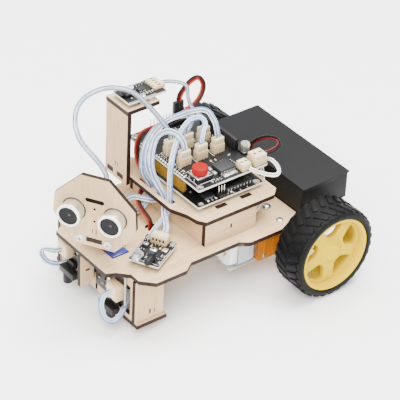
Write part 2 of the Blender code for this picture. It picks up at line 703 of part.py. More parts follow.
def controller():
    board = box("controller_board", CONTROLLER_X, (BOARD_FRONT_Y, -23.2),
                (CONTROLLER_BOTTOM, CONTROLLER_BOTTOM + PCB), "pcb", CAR)
    top = CONTROLLER_BOTTOM + PCB - 0.4
    join(board,
         raw_box("usb_socket", (-44.0, -27.5), (-47.0, -35.0), (top, 82.3)),
         raw_box("power_jack", (-39.8, -26.0), (-72.0, -63.0), (top, 82.3)),
         raw_box("controller_chip", (-8.0, 27.0), (-52.0, -43.5), (top, 75.5)))
    for x in (-30.0, 24.0):
        for y in (-70.0, -30.0):
            join(board, raw_rod("board_standoff", 2.4, (x, y, UPPER_TOP + GAP),
                                (x, y, CONTROLLER_BOTTOM + 0.4), 12))
    for y in ((-76.3, -73.8), (-27.4, -24.9)):
        for x in ((-18.0, 14.0), (-37.0, -21.0)):
            join(board, raw_box("header", x, y, (top, SHIELD_BOTTOM - GAP)))


def shield():
    board = box("shield_board", (-46.0, 30.4), (BOARD_FRONT_Y, -20.5),
                (SHIELD_BOTTOM, SHIELD_TOP), "pcb", CAR)
    top = SHIELD_TOP - 0.4
    x, y = BUTTON_PLACE
    join(board,
         raw_box("driver_chip", (14.5, 24.5), (-54.5, -42.5), (top, 88.0)),
         raw_rod("capacitor", 3.2, (11.5, -24.7, top), (11.5, -24.7, 91.5), 20),
         raw_box("socket_strip", (-30.0, 7.6), (-29.7, -27.2), (top, 93.1)),
         raw_box("pin_block", (-44.2, -41.7), (-62.0, -39.0), (top, 87.1)),
         raw_box("button_case", (x - 6, x + 6), (y - 6, y + 6), (top, 88.1)))
    for row_x in (-1.5, -16.5):
        for row_y in (-70.6, -57.1, -43.6):
            join(board, raw_box("sensor_plug", (row_x, row_x + 5.2), (row_y, row_y + 8.4),
                                (top, 95.6)))
    join(board,
         raw_box("motor_plug", (22.0, 29.8), (-41.0, -33.5), (top, 89.8)),
         raw_box("battery_plug", (21.0, 30.0), (-31.0, -20.8), (top, 92.2)))
    box("servo_plug", (-44.3, -41.6), (-42.2, -34.6), (87.5, 99.6), "black", CAR)
    rod("button_cap", 5.2, (0, 0, 0.5), (0, 0, 5.2), "red", BUTTON, 32)


# ---------------------------------------------------------------- leads

def leads():
    lead("sonar_ribbon", SONAR_ROUTE, RIBBON_RADIUS, "clear", CAR)
    lead("servo_lead", SERVO_ROUTE, LEAD_RADIUS, "servo_wire", CAR)
    lead("battery_lead", BATTERY_ROUTE, LEAD_RADIUS, "battery_wire", CAR)
    lead("motor_lead_left", MOTOR_LEFT_ROUTE, LEAD_RADIUS, "white", CAR)
    lead("mast_sensor_lead", MAST_ROUTE, LEAD_RADIUS, "clear", CAR)
    lead("obstacle_lead_left", OBSTACLE_LEFT_ROUTE, LEAD_RADIUS, "clear", CAR)
    lead("obstacle_lead_right", OBSTACLE_RIGHT_ROUTE, LEAD_RADIUS, "clear", CAR)
    lead("line_lead_left", LINE_LEFT_ROUTE, LEAD_RADIUS, "clear", CAR)
    lead("line_lead_right", LINE_RIGHT_ROUTE, LEAD_RADIUS, "clear", CAR)


SONAR_ROUTE = [
    (0, -126.7, 93.4), (0, -126.9, 98.5), (-3, -128, 103.5), (-8, -130, 108.3),
    (-14, -132, 112.5), (-21, -132.5, 116.0), (-29.5, -130, 120.5), (-36, -125, 126.5),
    (-38.5, -118, 131.5), (-36.5, -110.3, 135.5), (-32.7, -104.8, 138.0), (-28, -100, 139.0),
    (-25, -94.5, 137.5), (-23, -88, 132.5), (-22.0, -80.5, 123.5), (-19.5, -73.5, 113.5),
    (-15.8, -68.2, 104.0), (-13.9, -66.6, 99.0), (-13.9, -66.4, 96.2),
]
SERVO_ROUTE = [
    (-6.3, -126.7, 30.0), (-11, -126.5, 30.0), (-14.8, -122, 30.0), (-13.5, -113, 31.0),
    (-6, -104, 33.5), (1.0, -97.0, 38.0), (3.6, -93.8, 45.0), (1.5, -93.0, 51.0),
    (-5.5, -92.9, 54.0), (-12.0, -92.0, 56.5), (-16.5, -88.2, 59.5), (-19.0, -83.2, 62.5),
    (-19.6, -82.6, 68.0), (-21.5, -83.2, 74.0), (-24.5, -84.5, 81.0),
    (-27.0, -83.5, 89.5), (-28.3, -79, 96.5),
    (-28.2, -71, 98.0), (-29, -62, 96.5), (-31, -49, 97.0), (-32.8, -37, 98.5),
    (-34.0, -28, 103.0), (-36.0, -23.5, 110.0), (-39.2, -25.0, 115.0), (-42, -29.5, 112.5),
    (-42.95, -36.4, 105.0), (-42.95, -38.2, 99.9),
]
BATTERY_ROUTE = [
    (8.0, -5.2, 60.0), (8.0, -8.5, 60.5), (7.5, -13.0, 67.0), (7.5, -16.5, 77.0),
    (9.0, -17.5, 86.0), (13.0, -15.0, 91.5), (18.5, -12.0, 95.0), (24.0, -9.5, 96.0),
    (27.5, -9.5, 94.7), (28.4, -12.0, 92.7), (27.9, -16.0, 91.3), (27.5, -20.4, 91.0),
]
MOTOR_LEFT_ROUTE = [
    (30.9, -36.0, 86.9), (32.8, -35.0, 86.3), (35.5, -30.5, 83.8), (38.5, -24.5, 81.5),
    (40.2, -20.6, 81.3), (39.0, -18.2, 83.0), (35.5, -17.7, 85.3), (31.5, -17.9, 86.4),
    (28.2, -17.7, 85.6), (24.0, -17.5, 83.0), (20.5, -16.8, 78.0), (19.0, -15.2, 71.0),
    (19.5, -14.6, 65.0), (23.0, -17.5, 59.5), (30.0, -24.5, 57.0), (34.7, -31.0, 55.5),
    (35.6, -38.0, 54.0), (35.6, -49.0, 51.5),
    (35.6, -57.0, 50.8),
    (35.6, -61.3, 48.3), (35.6, -62.3, 43.5), (35.6, -65.0, 38.5), (35.7, -65.3, 34.6),
    (35.9, -62.5, 32.6), (35.9, -58.4, 32.5),
]
MAST_ROUTE = [
    (-36.5, -57.2, 124.2), (-36.0, -53.0, 123.6), (-34.0, -47.0, 122.0),
    (-32.7, -42.3, 119.5), (-31.8, -40.0, 116.0), (-30.5, -40.4, 110.5),
    (-28.5, -39.5, 104.5), (-25.5, -37.6, 100.5), (-20.0, -37.0, 99.4),
    (-15.3, -38.6, 98.9), (-13.9, -39.4, 96.2),
]
OBSTACLE_LEFT_ROUTE = [
    (1.1, -66.4, 96.2), (0.8, -66.6, 99.5), (-1.5, -67.2, 103.2), (-6.0, -68.6, 105.4),
    (-12.0, -71.8, 104.8), (-14.8, -77.5, 99.6), (-9, -85, 91.0),
    (-4.5, -86.7, 82.0), (0.0, -84.8, 74.0), (3.6, -82.8, 67.0), (5, -84.0, 63.0),
    (10, -88.0, 60.5), (15.5, -90.5, 58.0), (20.8, -94.1, 55.9), (22.99, -98.3, 55.5),
]
OBSTACLE_RIGHT_ROUTE = [
    (1.1, -39.4, 96.2), (0.4, -39.6, 99.8), (-3.6, -38.3, 103.8), (-8.2, -37.2, 105.2),
    (-13.8, -36.0, 105.8), (-18.7, -37.8, 105.6), (-22.3, -44.0, 104.6), (-24.0, -52.0, 103.6),
    (-24.3, -63.0, 102.2), (-19.5, -77.0, 98.5), (-12.6, -86.5, 92.0), (-8.8, -88.3, 83.5),
    (-5.0, -85.6, 75.0), (-1.2, -82.8, 67.8), (-1.9, -82.8, 62.4), (-6.5, -86.6, 60.5),
    (-12.5, -91.0, 60.6), (-18.0, -92.2, 58.4), (-21.1, -94.7, 55.7), (-22.99, -98.3, 55.5),
]
LINE_LEFT_ROUTE = [
    (1.1, -52.9, 96.2), (0.8, -52.6, 98.8), (-1.2, -50.2, 102.4), (-6.5, -44.6, 104.4),
    (-12.8, -43.2, 104.4), (-15.6, -48.3, 103.8), (-13.2, -54.8, 103.0), (-8.6, -62.7, 101.9),
    (0, -73, 100.5), (6.2, -80.5, 94.0), (8.5, -83, 83.0),
    (8.9, -82.8, 67.0), (9.6, -84.3, 59.5), (11.0, -93, 53.5), (11.5, -98.6, 48.5),
    (11.7, -100.3, 43.0), (14, -105, 37.0), (19, -113, 29.0), (25, -123.5, 20.5),
    (29.5, -131.6, 16.7),
    (31.8, -137.5, 12.5), (32.0, -143.5, 11.0), (30, -148.5, 15.5), (28, -149.5, 23.5),
    (27.5, -148, 29.3), (27.5, -145.0, 31.0), (27.5, -142.0, 31.0),
]
LINE_RIGHT_ROUTE = [
    (-13.9, -52.9, 96.1), (-13.9, -52.8, 98.4), (-15.5, -49.4, 100.4), (-19.3, -44.8, 101.0),
    (-23.3, -44.6, 101.0), (-25.6, -49.0, 101.1), (-26.5, -59, 101.0), (-24.5, -72, 99.0),
    (-18.5, -83.5, 95.0), (-13.8, -89.0, 85.0), (-12.8, -88.0, 76.0), (-12.6, -83.2, 67.5),
    (-12.4, -83.4, 60.0), (-11.6, -88.5, 53.5), (-11.5, -97.0, 50.0),
    (-11.7, -100.3, 43.0), (-14, -106, 37.0),
    (-19, -114, 28.5), (-25, -123.5, 20.5), (-30.0, -131.6, 16.7), (-34.0, -138, 13.5),
    (-38, -145, 15.5), (-39, -149, 22.0), (-36, -151, 29.0), (-31, -149.8, 32.2),
    (-28.2, -146.5, 31.5), (-27.5, -142.0, 31.0),
]


def build():
    lower_deck()
    upper_deck()
    deck_supports()
    mast()
    mast_sensor()
    nose()
    servo()
    head()
    caster()
    battery()
    controller()
    shield()
    leads()
    for side, word in ((1, "left"), (-1, "right")):
        pod(side, word)
        line_sensor(side, word)
        obstacle_sensor(side, word)
        motor(side, word)
        wheel(side, word)


clear_scene()
PARTS = new_collection("two_wheel_robot_car")
CUTTERS = new_collection("cutters")
MATERIALS = {name: make_material(name) for name in COLOURS}
CAR = empty("axle_frame", (0, AXLE_Y, 0))
HEAD = empty("head_axis", (0, SERVO_Y, 0), CAR, HEAD_YAW)
LID = empty("lid_slide", (0, 0, 0), CAR)
SWITCH = empty("switch_slide_frame", (0, 0, 0), CAR)
BUTTON = empty("button_axis", (*BUTTON_PLACE, 88.1), CAR)
build()
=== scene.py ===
"""Looks for the two-wheel robot car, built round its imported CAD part.

Lengths are millimetres and become metres as each mesh is made. Places are
given in the axle frame, whose origin is on the ground under the middle of the
wheel axle: the car faces -Y and +X is its left side. A pair (low, high) bounds
a shape along one axis.
"""

from math import asin, cos, pi, radians, sin

import bmesh
import bpy
from mathutils import Matrix, Vector


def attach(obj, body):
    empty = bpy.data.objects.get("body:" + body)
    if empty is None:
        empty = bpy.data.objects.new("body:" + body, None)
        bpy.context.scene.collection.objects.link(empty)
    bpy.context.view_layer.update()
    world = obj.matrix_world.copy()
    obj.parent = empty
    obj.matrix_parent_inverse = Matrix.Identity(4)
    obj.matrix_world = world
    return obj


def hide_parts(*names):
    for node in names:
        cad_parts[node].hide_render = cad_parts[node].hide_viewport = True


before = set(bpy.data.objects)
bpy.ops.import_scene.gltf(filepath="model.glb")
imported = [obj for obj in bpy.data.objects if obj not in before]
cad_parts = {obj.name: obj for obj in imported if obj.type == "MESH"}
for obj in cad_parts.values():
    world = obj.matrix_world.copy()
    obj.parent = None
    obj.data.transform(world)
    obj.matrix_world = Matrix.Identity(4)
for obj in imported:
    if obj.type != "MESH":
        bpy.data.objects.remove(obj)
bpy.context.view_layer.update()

MM = 0.001
AXLE_Y = 62.7
CAR = Matrix.Translation((0, AXLE_Y, 0))
AXLE_HEIGHT = 32.5
WHEEL_FRAME = CAR @ Matrix.Translation((0, 0, AXLE_HEIGHT))
SERVO_Y = -126.7
HEAD_YAW = radians(31.0)
HEAD = CAR @ Matrix.Translation((0, SERVO_Y, 0)) @ Matrix.Rotation(HEAD_YAW, 4, "Z")
OBSTACLE_YAW = radians(28.0)
DECK_TOP = 47.0

ALONG_X, ALONG_Y, ALONG_Z = (1, 0, 0), (0, 1, 0), (0, 0, 1)
FORWARD, DOWN = (0, -1, 0), (0, 0, -1)
STANDING = Matrix.Rotation(pi / 2, 3, "X")      # a plate drawn in X and Y stands up


# ---------------------------------------------------------------- looks

class Look:
    """A material and the texture nodes that feed its shader."""

    def __init__(self, name, **values):
        self.material = bpy.data.materials.new(name)
        self.material.use_nodes = True
        self.nodes = self.material.node_tree.nodes
        self.link = self.material.node_tree.links.new
        self.shader = self.nodes["Principled BSDF"]
        for key, value in values.items():
            self.shader.inputs[key.replace("_", " ")].default_value = value

    def node(self, kind, **values):
        made = self.nodes.new("ShaderNode" + kind)
        for key, value in values.items():
            setattr(made, key, value)
        return made

    def place(self, output="Object"):
        return self.node("TexCoord").outputs[output]

    def noise(self, scale, stretch=(1, 1, 1), detail=4.0, offset=(0, 0, 0)):
        """A cloudy texture, with about this many features to the metre."""
        mapping, noise = self.node("Mapping"), self.node("TexNoise")
        mapping.inputs["Scale"].default_value = stretch
        mapping.inputs["Location"].default_value = offset
        noise.inputs["Scale"].default_value = scale
        noise.inputs["Detail"].default_value = detail
        self.link(self.place(), mapping.inputs["Vector"])
        self.link(mapping.outputs["Vector"], noise.inputs["Vector"])
        return noise.outputs["Fac"]

    def cells(self, scale, **values):
        cells = self.node("TexVoronoi", **values)
        cells.inputs["Scale"].default_value = scale
        self.link(self.place(), cells.inputs["Vector"])
        return cells.outputs["Distance"]

    def ramp(self, value, stops):
        ramp = self.node("ValToRGB")
        while len(ramp.color_ramp.elements) < len(stops):
            ramp.color_ramp.elements.new(0.5)
        for element, (position, colour) in zip(ramp.color_ramp.elements, stops):
            element.position = position
            element.color = (*colour, 1.0)
        self.link(value, ramp.inputs["Fac"])
        return ramp.outputs["Color"]

    def mix(self, factor, first, second):
        """A colour between two, each a colour or a node's output."""
        made = self.node("Mix", data_type="RGBA")
        sockets = [made.inputs["Factor"]] + [s for s in made.inputs if s.type == "RGBA"]
        for socket, value in zip(sockets, (factor, first, second)):
            if isinstance(value, float):
                socket.default_value = value
            elif isinstance(value, tuple):
                socket.default_value = (*value, 1.0)
            else:
                self.link(value, socket)
        return next(s for s in made.outputs if s.type == "RGBA")

    def colour(self, value):
        self.link(value, self.shader.inputs["Base Color"])

    def rough(self, value, low, high):
        scaled = self.node("MapRange")
        scaled.inputs["To Min"].default_value = low
        scaled.inputs["To Max"].default_value = high
        self.link(value, scaled.inputs["Value"])
        self.link(scaled.outputs["Result"], self.shader.inputs["Roughness"])

    def bump(self, value, strength, depth):
        bump = self.node("Bump")
        bump.inputs["Strength"].default_value = strength
        bump.inputs["Distance"].default_value = depth * MM
        self.link(value, bump.inputs["Height"])
        self.link(bump.outputs["Normal"], self.shader.inputs["Normal"])


def shade(colour, amount):
    return tuple(min(1.0, channel * amount) for channel in colour)


def grey(value):
    return (value, value, value)


def plain(name, colour, roughness, grain=900, bump=0.15, spread=0.12, depth=0.05, **values):
    """A moulded, drawn or printed surface: near-even colour, gloss and fine grain."""
    made = Look(name, **values)
    cloud = made.noise(60)
    made.colour(made.ramp(cloud, [(0.3, shade(colour, 1 - spread)),
                                  (0.7, shade(colour, 1 + spread))]))
    made.rough(cloud, roughness - 0.06, roughness + 0.08)
    made.bump(made.noise(grain), bump, depth)
    return made.material


PLY_LIGHT, PLY_DARK, PLY_PORE = (0.60, 0.43, 0.25), (0.49, 0.325, 0.17), (0.33, 0.185, 0.08)
BURN_LIGHT, BURN_DARK = (0.022, 0.006, 0.003), (0.004, 0.001, 0.0006)
BURN_BRIDGE = (0.16, 0.07, 0.03)
SQUARE_TO_SHEET = 0.6       # a normal this far along the sheet's axis is on a face


def ply(name, axis, grain):
    """Birch ply for one plate: pale grained faces and dark, laser-burnt edges."""
    made = Look(f"ply_{name}", Specular_IOR_Level=0.22)
    offset = (0.13 * (sum(map(ord, name)) % 17), 0.07 * len(name), 0.0)
    fibre = made.noise(55, [1.0 if along else 9.0 for along in grain], 6.0, offset)
    cloud = made.noise(22, detail=2.0, offset=offset)
    face = made.mix(0.60, made.ramp(fibre, [(0.30, PLY_PORE), (0.42, PLY_DARK), (0.66, PLY_LIGHT)]),
                    made.ramp(cloud, [(0.35, PLY_DARK), (0.62, PLY_LIGHT)]))
    spots = made.ramp(made.noise(75, detail=1.0, offset=offset), [(0.70, grey(0)), (0.74, grey(1))])
    char = made.ramp(made.noise(260, detail=3.0, offset=offset), [(0.3, BURN_DARK), (0.7, BURN_LIGHT)])
    edge = made.mix(spots, char, BURN_BRIDGE)
    across = made.node("VectorMath", operation="DOT_PRODUCT")
    across.inputs[1].default_value = axis
    made.link(made.place("Normal"), across.inputs[0])
    facing = made.node("Math", operation="ABSOLUTE")
    made.link(across.outputs["Value"], facing.inputs[0])
    is_face = made.node("Math", operation="GREATER_THAN")
    is_face.inputs[1].default_value = SQUARE_TO_SHEET
    made.link(facing.outputs["Value"], is_face.inputs[0])
    made.colour(made.mix(is_face.outputs["Value"], edge, face))
    made.rough(fibre, 0.50, 0.72)
    made.bump(fibre, 0.18, 0.08)
    return made.material


def grille(name):
    """Fine black mesh over the mouth of a transducer."""
    made = Look(name, Specular_IOR_Level=0.12)
    cells = made.cells(1500, feature="DISTANCE_TO_EDGE")
    made.colour(made.ramp(cells, [(0.02, grey(0.014)), (0.16, grey(0.001))]))
    made.rough(cells, 0.35, 0.8)
    made.bump(cells, 0.6, 0.15)
    return made.material


def rubber(name):
    made = Look(name, Specular_IOR_Level=0.09)
    dust = made.noise(45, detail=8.0)
    made.colour(made.ramp(dust, [(0.35, (0.002, 0.002, 0.0022)), (0.7, (0.006, 0.006, 0.0062))]))
    made.rough(dust, 0.42, 0.62)
    made.bump(made.noise(1100), 0.25, 0.08)
    return made.material


def clear_wire(name, colour):
    """Milky insulation: it lets some light through and catches soft highlights."""
    made = Look(name, IOR=1.45, Subsurface_Weight=0.35, Subsurface_Radius=(0.004, 0.004, 0.005),
                Subsurface_Scale=0.3, Transmission_Weight=0.22, Coat_Weight=0.5, Coat_Roughness=0.12)
    cloud = made.noise(160, detail=2.0)
    made.colour(made.ramp(cloud, [(0.38, shade(colour, 0.78)), (0.6, colour)]))
    made.rough(cloud, 0.16, 0.34)
    made.bump(cloud, 0.08, 0.1)
    return made.material


def solder_mask(name):
    """Black solder mask, with copper runs standing very slightly proud under it."""
    made = Look(name, Specular_IOR_Level=0.3, Coat_Weight=0.12, Coat_Roughness=0.2)
    runs = made.cells(420, distance="MANHATTAN", feature="F1")
    bare, copper = (0.003, 0.0032, 0.0035), (0.008, 0.009, 0.0095)
    made.colour(made.ramp(runs, [(0.40, bare), (0.44, copper), (0.60, copper), (0.64, bare)]))
    made.rough(runs, 0.30, 0.42)
    made.bump(runs, 0.12, 0.03)
    return made.material


METAL, FLAT = dict(Metallic=1.0), dict(Specular_IOR_Level=0.25)
SOFT = dict(Subsurface_Scale=0.002)
PLAIN_LOOKS = {
    # look: (colour, roughness, other values)
    "fibreglass": ((0.62, 0.60, 0.50), 0.45, {}),
    "print": ((0.80, 0.80, 0.78), 0.55, dict(spread=0.05)),
    "tin": ((0.78, 0.78, 0.76), 0.28, METAL),
    "gold": ((0.85, 0.62, 0.28), 0.25, METAL),
    "chip": ((0.014, 0.0145, 0.016), 0.5, dict(Specular_IOR_Level=0.35)),
    "black": ((0.005, 0.005, 0.0055), 0.42, FLAT),
    # slot is near-black: painted shade inside openings, slits and screw recesses that are not cut, and
    # also the real colour of small black parts
    "slot": (grey(0.004), 0.7, {}),
    "ceramic": ((0.33, 0.24, 0.15), 0.5, {}),
    "cream": ((0.50, 0.36, 0.19), 0.42, dict(SOFT, spread=0.08, Subsurface_Weight=0.12)),
    "ivory": ((0.66, 0.54, 0.34), 0.40, dict(SOFT, spread=0.05, Subsurface_Weight=0.15)),
    "white": ((0.86, 0.86, 0.84), 0.40, dict(spread=0.04)),
    "nylon": ((0.80, 0.80, 0.76), 0.28, dict(spread=0.04, Transmission_Weight=0.25)),
    "silver": ((0.66, 0.65, 0.63), 0.28, dict(spread=0.06, Metallic=0.9)),
    "steel": (grey(0.60), 0.30, dict(METAL, grain=500)),
    "chrome": (grey(0.82), 0.12, dict(METAL, spread=0.03, bump=0.02)),
    "brass": ((0.78, 0.57, 0.24), 0.26, METAL),
    "yellow": ((0.58, 0.395, 0.0), 0.40, dict(spread=0.04, Specular_IOR_Level=0.06)),
    "header_yellow": ((0.19, 0.095, 0.0), 0.45, dict(spread=0.08, Specular_IOR_Level=0.15)),
    "orange": ((0.34, 0.10, 0.0), 0.36, dict(spread=0.06, Specular_IOR_Level=0.2)),
    "box_grey": ((0.0075, 0.0075, 0.008), 0.55,
                 dict(grain=2200, bump=0.35, spread=0.06, depth=0.08, Specular_IOR_Level=0.13)),
    "blue": ((0.010, 0.022, 0.21), 0.22, dict(spread=0.1, Coat_Weight=0.5)),
    "red": ((0.24, 0.0006, 0.0005), 0.40, dict(spread=0.05, Specular_IOR_Level=0.12)),
    "cell_wrap": ((0.05, 0.25, 0.20), 0.3, {}),
    "cone": (grey(0.012), 0.5, {}),
    "lamp_clear": ((0.85, 0.88, 0.90), 0.08,
                   dict(spread=0.02, bump=0.02, Transmission_Weight=0.85, IOR=1.5)),
    "strap": ((0.82, 0.85, 0.86), 0.15, dict(spread=0.03, bump=0.03, Transmission_Weight=0.7)),
    "burn": ((0.035, 0.012, 0.006), 0.7, dict(Specular_IOR_Level=0.2)),
    "wire_white": ((0.88, 0.88, 0.87), 0.35, dict(spread=0.03)),
    "wire_red": ((0.075, 0.0015, 0.001), 0.34, dict(FLAT, spread=0.05)),
    "wire_orange": ((0.30, 0.035, 0.003), 0.34, dict(FLAT, spread=0.05)),
    "wire_brown": ((0.012, 0.0025, 0.001), 0.36, dict(FLAT, spread=0.08)),
    "wire_black": ((0.004, 0.003, 0.003), 0.4, dict(Specular_IOR_Level=0.15)),
}
CLEAR_WIRES = {"wire_clear": (0.42, 0.57, 0.78), "wire_blue": (0.15, 0.27, 0.54),
               "wire_milk": (0.76, 0.81, 0.89), "wire_grey": (0.22, 0.25, 0.32)}
OTHER_LOOKS = {"board": solder_mask, "grille": grille, "rubber": rubber}
MADE = {}


def look(name):
    if name not in MADE:
        if name in PLAIN_LOOKS:
            colour, roughness, values = PLAIN_LOOKS[name]
            MADE[name] = plain(name, colour, roughness, **values)
        elif name in CLEAR_WIRES:
            MADE[name] = clear_wire(name, CLEAR_WIRES[name])
        else:
            MADE[name] = OTHER_LOOKS[name](name)
    return MADE[name]


# ---------------------------------------------------------------- shapes

SMOOTH_ANGLE = radians(38)
SHARP = 0.02        # a bevel no wider than this isn't worth cutting


def add(name, data):
    made = bpy.data.objects.new(name, data)
    bpy.context.scene.collection.objects.link(made)
    return made


def to_metres(matrix):
    return Matrix.Scale(MM, 4) @ matrix


def about(middle, half):
    return (middle - half, middle + half)


def inset(pair, amount):
    return (pair[0] + amount, pair[1] - amount)


def row(run, count):
    """The middles of equal steps along a run."""
    step = (run[1] - run[0]) / count
    return [run[0] + (k + 0.5) * step for k in range(count)]


def steps(first, pitch, count):
    return [first + pitch * k for k in range(count)]


def circle(x, y, radius, sides=24):
    turns = [2 * pi * k / sides for k in range(sides)]
    return [(x + radius * cos(a), y + radius * sin(a)) for a in turns]


def rounded(points, radius, count=5):
    """A ring of points with each corner rounded."""
    ring = []
    for k, corner in enumerate(points):
        corner = Vector(corner)
        before, after = Vector(points[k - 1]), Vector(points[(k + 1) % len(points)])
        reach = min(radius, 0.45 * (before - corner).length, 0.45 * (after - corner).length)
        first = corner + reach * (before - corner).normalized()
        last = corner + reach * (after - corner).normalized()
        for n in range(count + 1):
            t = n / count
            ring.append(tuple((1 - t) ** 2 * first + 2 * t * (1 - t) * corner + t * t * last))
    return ring


def rounded_box(x, y, radius):
    return rounded([(x[0], y[0]), (x[1], y[0]), (x[1], y[1]), (x[0], y[1])], radius)


def cube(size, bevel):
    piece = bmesh.new()
    bmesh.ops.create_cube(piece, size=1.0)
    bmesh.ops.scale(piece, vec=size, verts=piece.verts)
    if bevel > SHARP:
        bmesh.ops.bevel(piece, geom=piece.edges[:], offset=bevel, segments=2, profile=0.5,
                        affect="EDGES")
    return piece


class Group:
    """Shapes gathered into one mesh for each look, which ride on one body."""

    def __init__(self, name, body="chassis", slot="circuit_board", matrix=CAR):
        self.name, self.body, self.slot, self.matrix = name, body, slot, matrix
        self.meshes = {}

    def take(self, look_name, piece, turn=None, place=(0, 0, 0)):
        if turn:
            bmesh.ops.rotate(piece, matrix=turn, verts=piece.verts)
        bmesh.ops.translate(piece, vec=place, verts=piece.verts)
        bmesh.ops.recalc_face_normals(piece, faces=piece.faces)
        mesh = bpy.data.meshes.new("piece")
        piece.to_mesh(mesh)
        piece.free()
        self.meshes.setdefault(look_name, bmesh.new()).from_mesh(mesh)
        bpy.data.meshes.remove(mesh)

    def box(self, look_name, x, y, z, bevel=0.15, turn=None):
        """A box with softened edges, from its bounds in either order."""
        size = [abs(b - a) for a, b in (x, y, z)]
        piece = cube(size, min(bevel, 0.3 * min(size)))
        self.take(look_name, piece, turn, [(a + b) / 2 for a, b in (x, y, z)])

    def block(self, look_name, middle, half, z, bevel=0.15):
        """A box from the middle and the half sizes of its plan."""
        self.box(look_name, about(middle[0], half[0]), about(middle[1], half[1]), z, bevel)

    def lathe(self, look_name, profile, start, direction=ALONG_Z, sides=32):
        """A closed profile of (distance along, radius), turned about a line."""
        piece = bmesh.new()
        rings = []
        for along, radius in profile:
            if radius < 0.001:
                rings.append([piece.verts.new((0, 0, along))] * sides)
            else:
                rings.append([piece.verts.new((*point, along)) for point in circle(0, 0, radius, sides)])
        for first, second in zip(rings, rings[1:]):
            for k in range(sides):
                n = (k + 1) % sides
                corners = [first[k], first[n], second[n], second[k]]
                kept = [v for place, v in enumerate(corners) if v not in corners[:place]]
                if len(kept) > 2:
                    piece.faces.new(kept)
        self.take(look_name, piece, Vector(direction).to_track_quat("Z", "Y").to_matrix(), start)

    def rod(self, look_name, radius, start, end, sides=24, soft=0.2):
        """A cylinder with softened rims."""
        start, end = Vector(start), Vector(end)
        length = (end - start).length
        soft = min(soft, 0.4 * length, 0.4 * radius)
        rim = [(0, radius - soft), (soft * 0.3, radius - soft * 0.3), (soft, radius)]
        profile = [(0, 0)] + rim + [(length - along, r) for along, r in reversed(rim)] + [(length, 0)]
        self.lathe(look_name, profile, start, end - start, sides)

    def outline(self, look_name, rings, low, high, bevel=0.2, turn=None, place=(0, 0, 0)):
        """A flat plate drawn in X and Y, from rings of points, between two heights."""
        curve = bpy.data.curves.new("outline", "CURVE")
        curve.dimensions = "2D"
        curve.fill_mode = "BOTH"
        curve.extrude = max((high - low) / 2 - bevel, 0.0)
        curve.bevel_depth = bevel
        curve.offset = -bevel
        curve.bevel_resolution = 2
        for ring in rings:
            spline = curve.splines.new("POLY")
            spline.points.add(len(ring) - 1)
            for point, (x, y) in zip(spline.points, ring):
                point.co = (x, y, 0.0, 1.0)
            spline.use_cyclic_u = True
        holder = add("outline", curve)
        bpy.context.view_layer.update()
        solid = holder.evaluated_get(bpy.context.evaluated_depsgraph_get())
        mesh = bpy.data.meshes.new_from_object(solid)
        piece = bmesh.new()
        piece.from_mesh(mesh)
        bpy.data.objects.remove(holder, do_unlink=True)
        bpy.data.curves.remove(curve)
        bpy.data.meshes.remove(mesh)
        bmesh.ops.remove_doubles(piece, verts=piece.verts, dist=0.001)
        bmesh.ops.translate(piece, vec=(0, 0, (low + high) / 2), verts=piece.verts)
        self.take(look_name, piece, turn, place)

    def finish(self, *nodes):
        """Make the objects, and hide these CAD nodes."""
        made = []
        for look_name, shapes in self.meshes.items():
            mesh = bpy.data.meshes.new(f"{self.name}_{look_name}")
            bmesh.ops.transform(shapes, matrix=to_metres(self.matrix), verts=shapes.verts)
            for face in shapes.faces:
                face.smooth = True
            shapes.to_mesh(mesh)
            shapes.free()
            mesh.set_sharp_from_angle(angle=SMOOTH_ANGLE)
            mesh.materials.append(look(look_name))
            obj = add(mesh.name, mesh)
            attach(obj, self.body)
            made.append(obj)
        if nodes:
            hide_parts(*nodes)
        return made


# ---------------------------------------------------------------- leads

SONAR_ROUTE = [
    (0, -126.7, 93.4), (0, -126.9, 98.5), (-3, -128, 103.5), (-8, -130, 108.3),
    (-14, -132, 112.5), (-21, -132.5, 116.0), (-29.5, -130, 120.5), (-36, -125, 126.5),
    (-38.5, -118, 131.5), (-36.5, -110.3, 135.5), (-32.7, -104.8, 138.0), (-28, -100, 139.0),
    (-25, -94.5, 137.5), (-23, -88, 132.5), (-22.0, -80.5, 123.5), (-19.5, -73.5, 113.5),
    (-15.8, -68.2, 104.0), (-13.9, -66.6, 99.0), (-13.9, -66.4, 96.2),
]
SERVO_ROUTE = [
    (-6.3, -126.7, 30.0), (-11, -126.5, 30.0), (-14.8, -122, 30.0), (-13.5, -113, 31.0),
    (-6, -104, 33.5), (1.0, -97.0, 38.0), (3.6, -93.8, 45.0), (1.5, -93.0, 51.0),
    (-5.5, -92.9, 54.0), (-12.0, -92.0, 56.5), (-16.5, -88.2, 59.5), (-19.0, -83.2, 62.5),
    (-19.6, -82.6, 68.0), (-21.5, -83.2, 74.0), (-24.5, -84.5, 81.0),
    (-27.0, -83.5, 89.5), (-28.3, -79, 96.5),
    (-28.2, -71, 98.0), (-29, -62, 96.5), (-31, -49, 97.0), (-32.8, -37, 98.5),
    (-34.0, -28, 103.0), (-36.0, -23.5, 110.0), (-39.2, -25.0, 115.0), (-42, -29.5, 112.5),
    (-42.95, -36.4, 105.0), (-42.95, -38.2, 99.9),
]
BATTERY_ROUTE = [
    (8.0, -5.2, 60.0), (8.0, -8.5, 60.5), (7.5, -13.0, 67.0), (7.5, -16.5, 77.0),
    (9.0, -17.5, 86.0), (13.0, -15.0, 91.5), (18.5, -12.0, 95.0), (24.0, -9.5, 96.0),
    (27.5, -9.5, 94.7), (28.4, -12.0, 92.7), (27.9, -16.0, 91.3), (27.5, -20.4, 91.0),
]
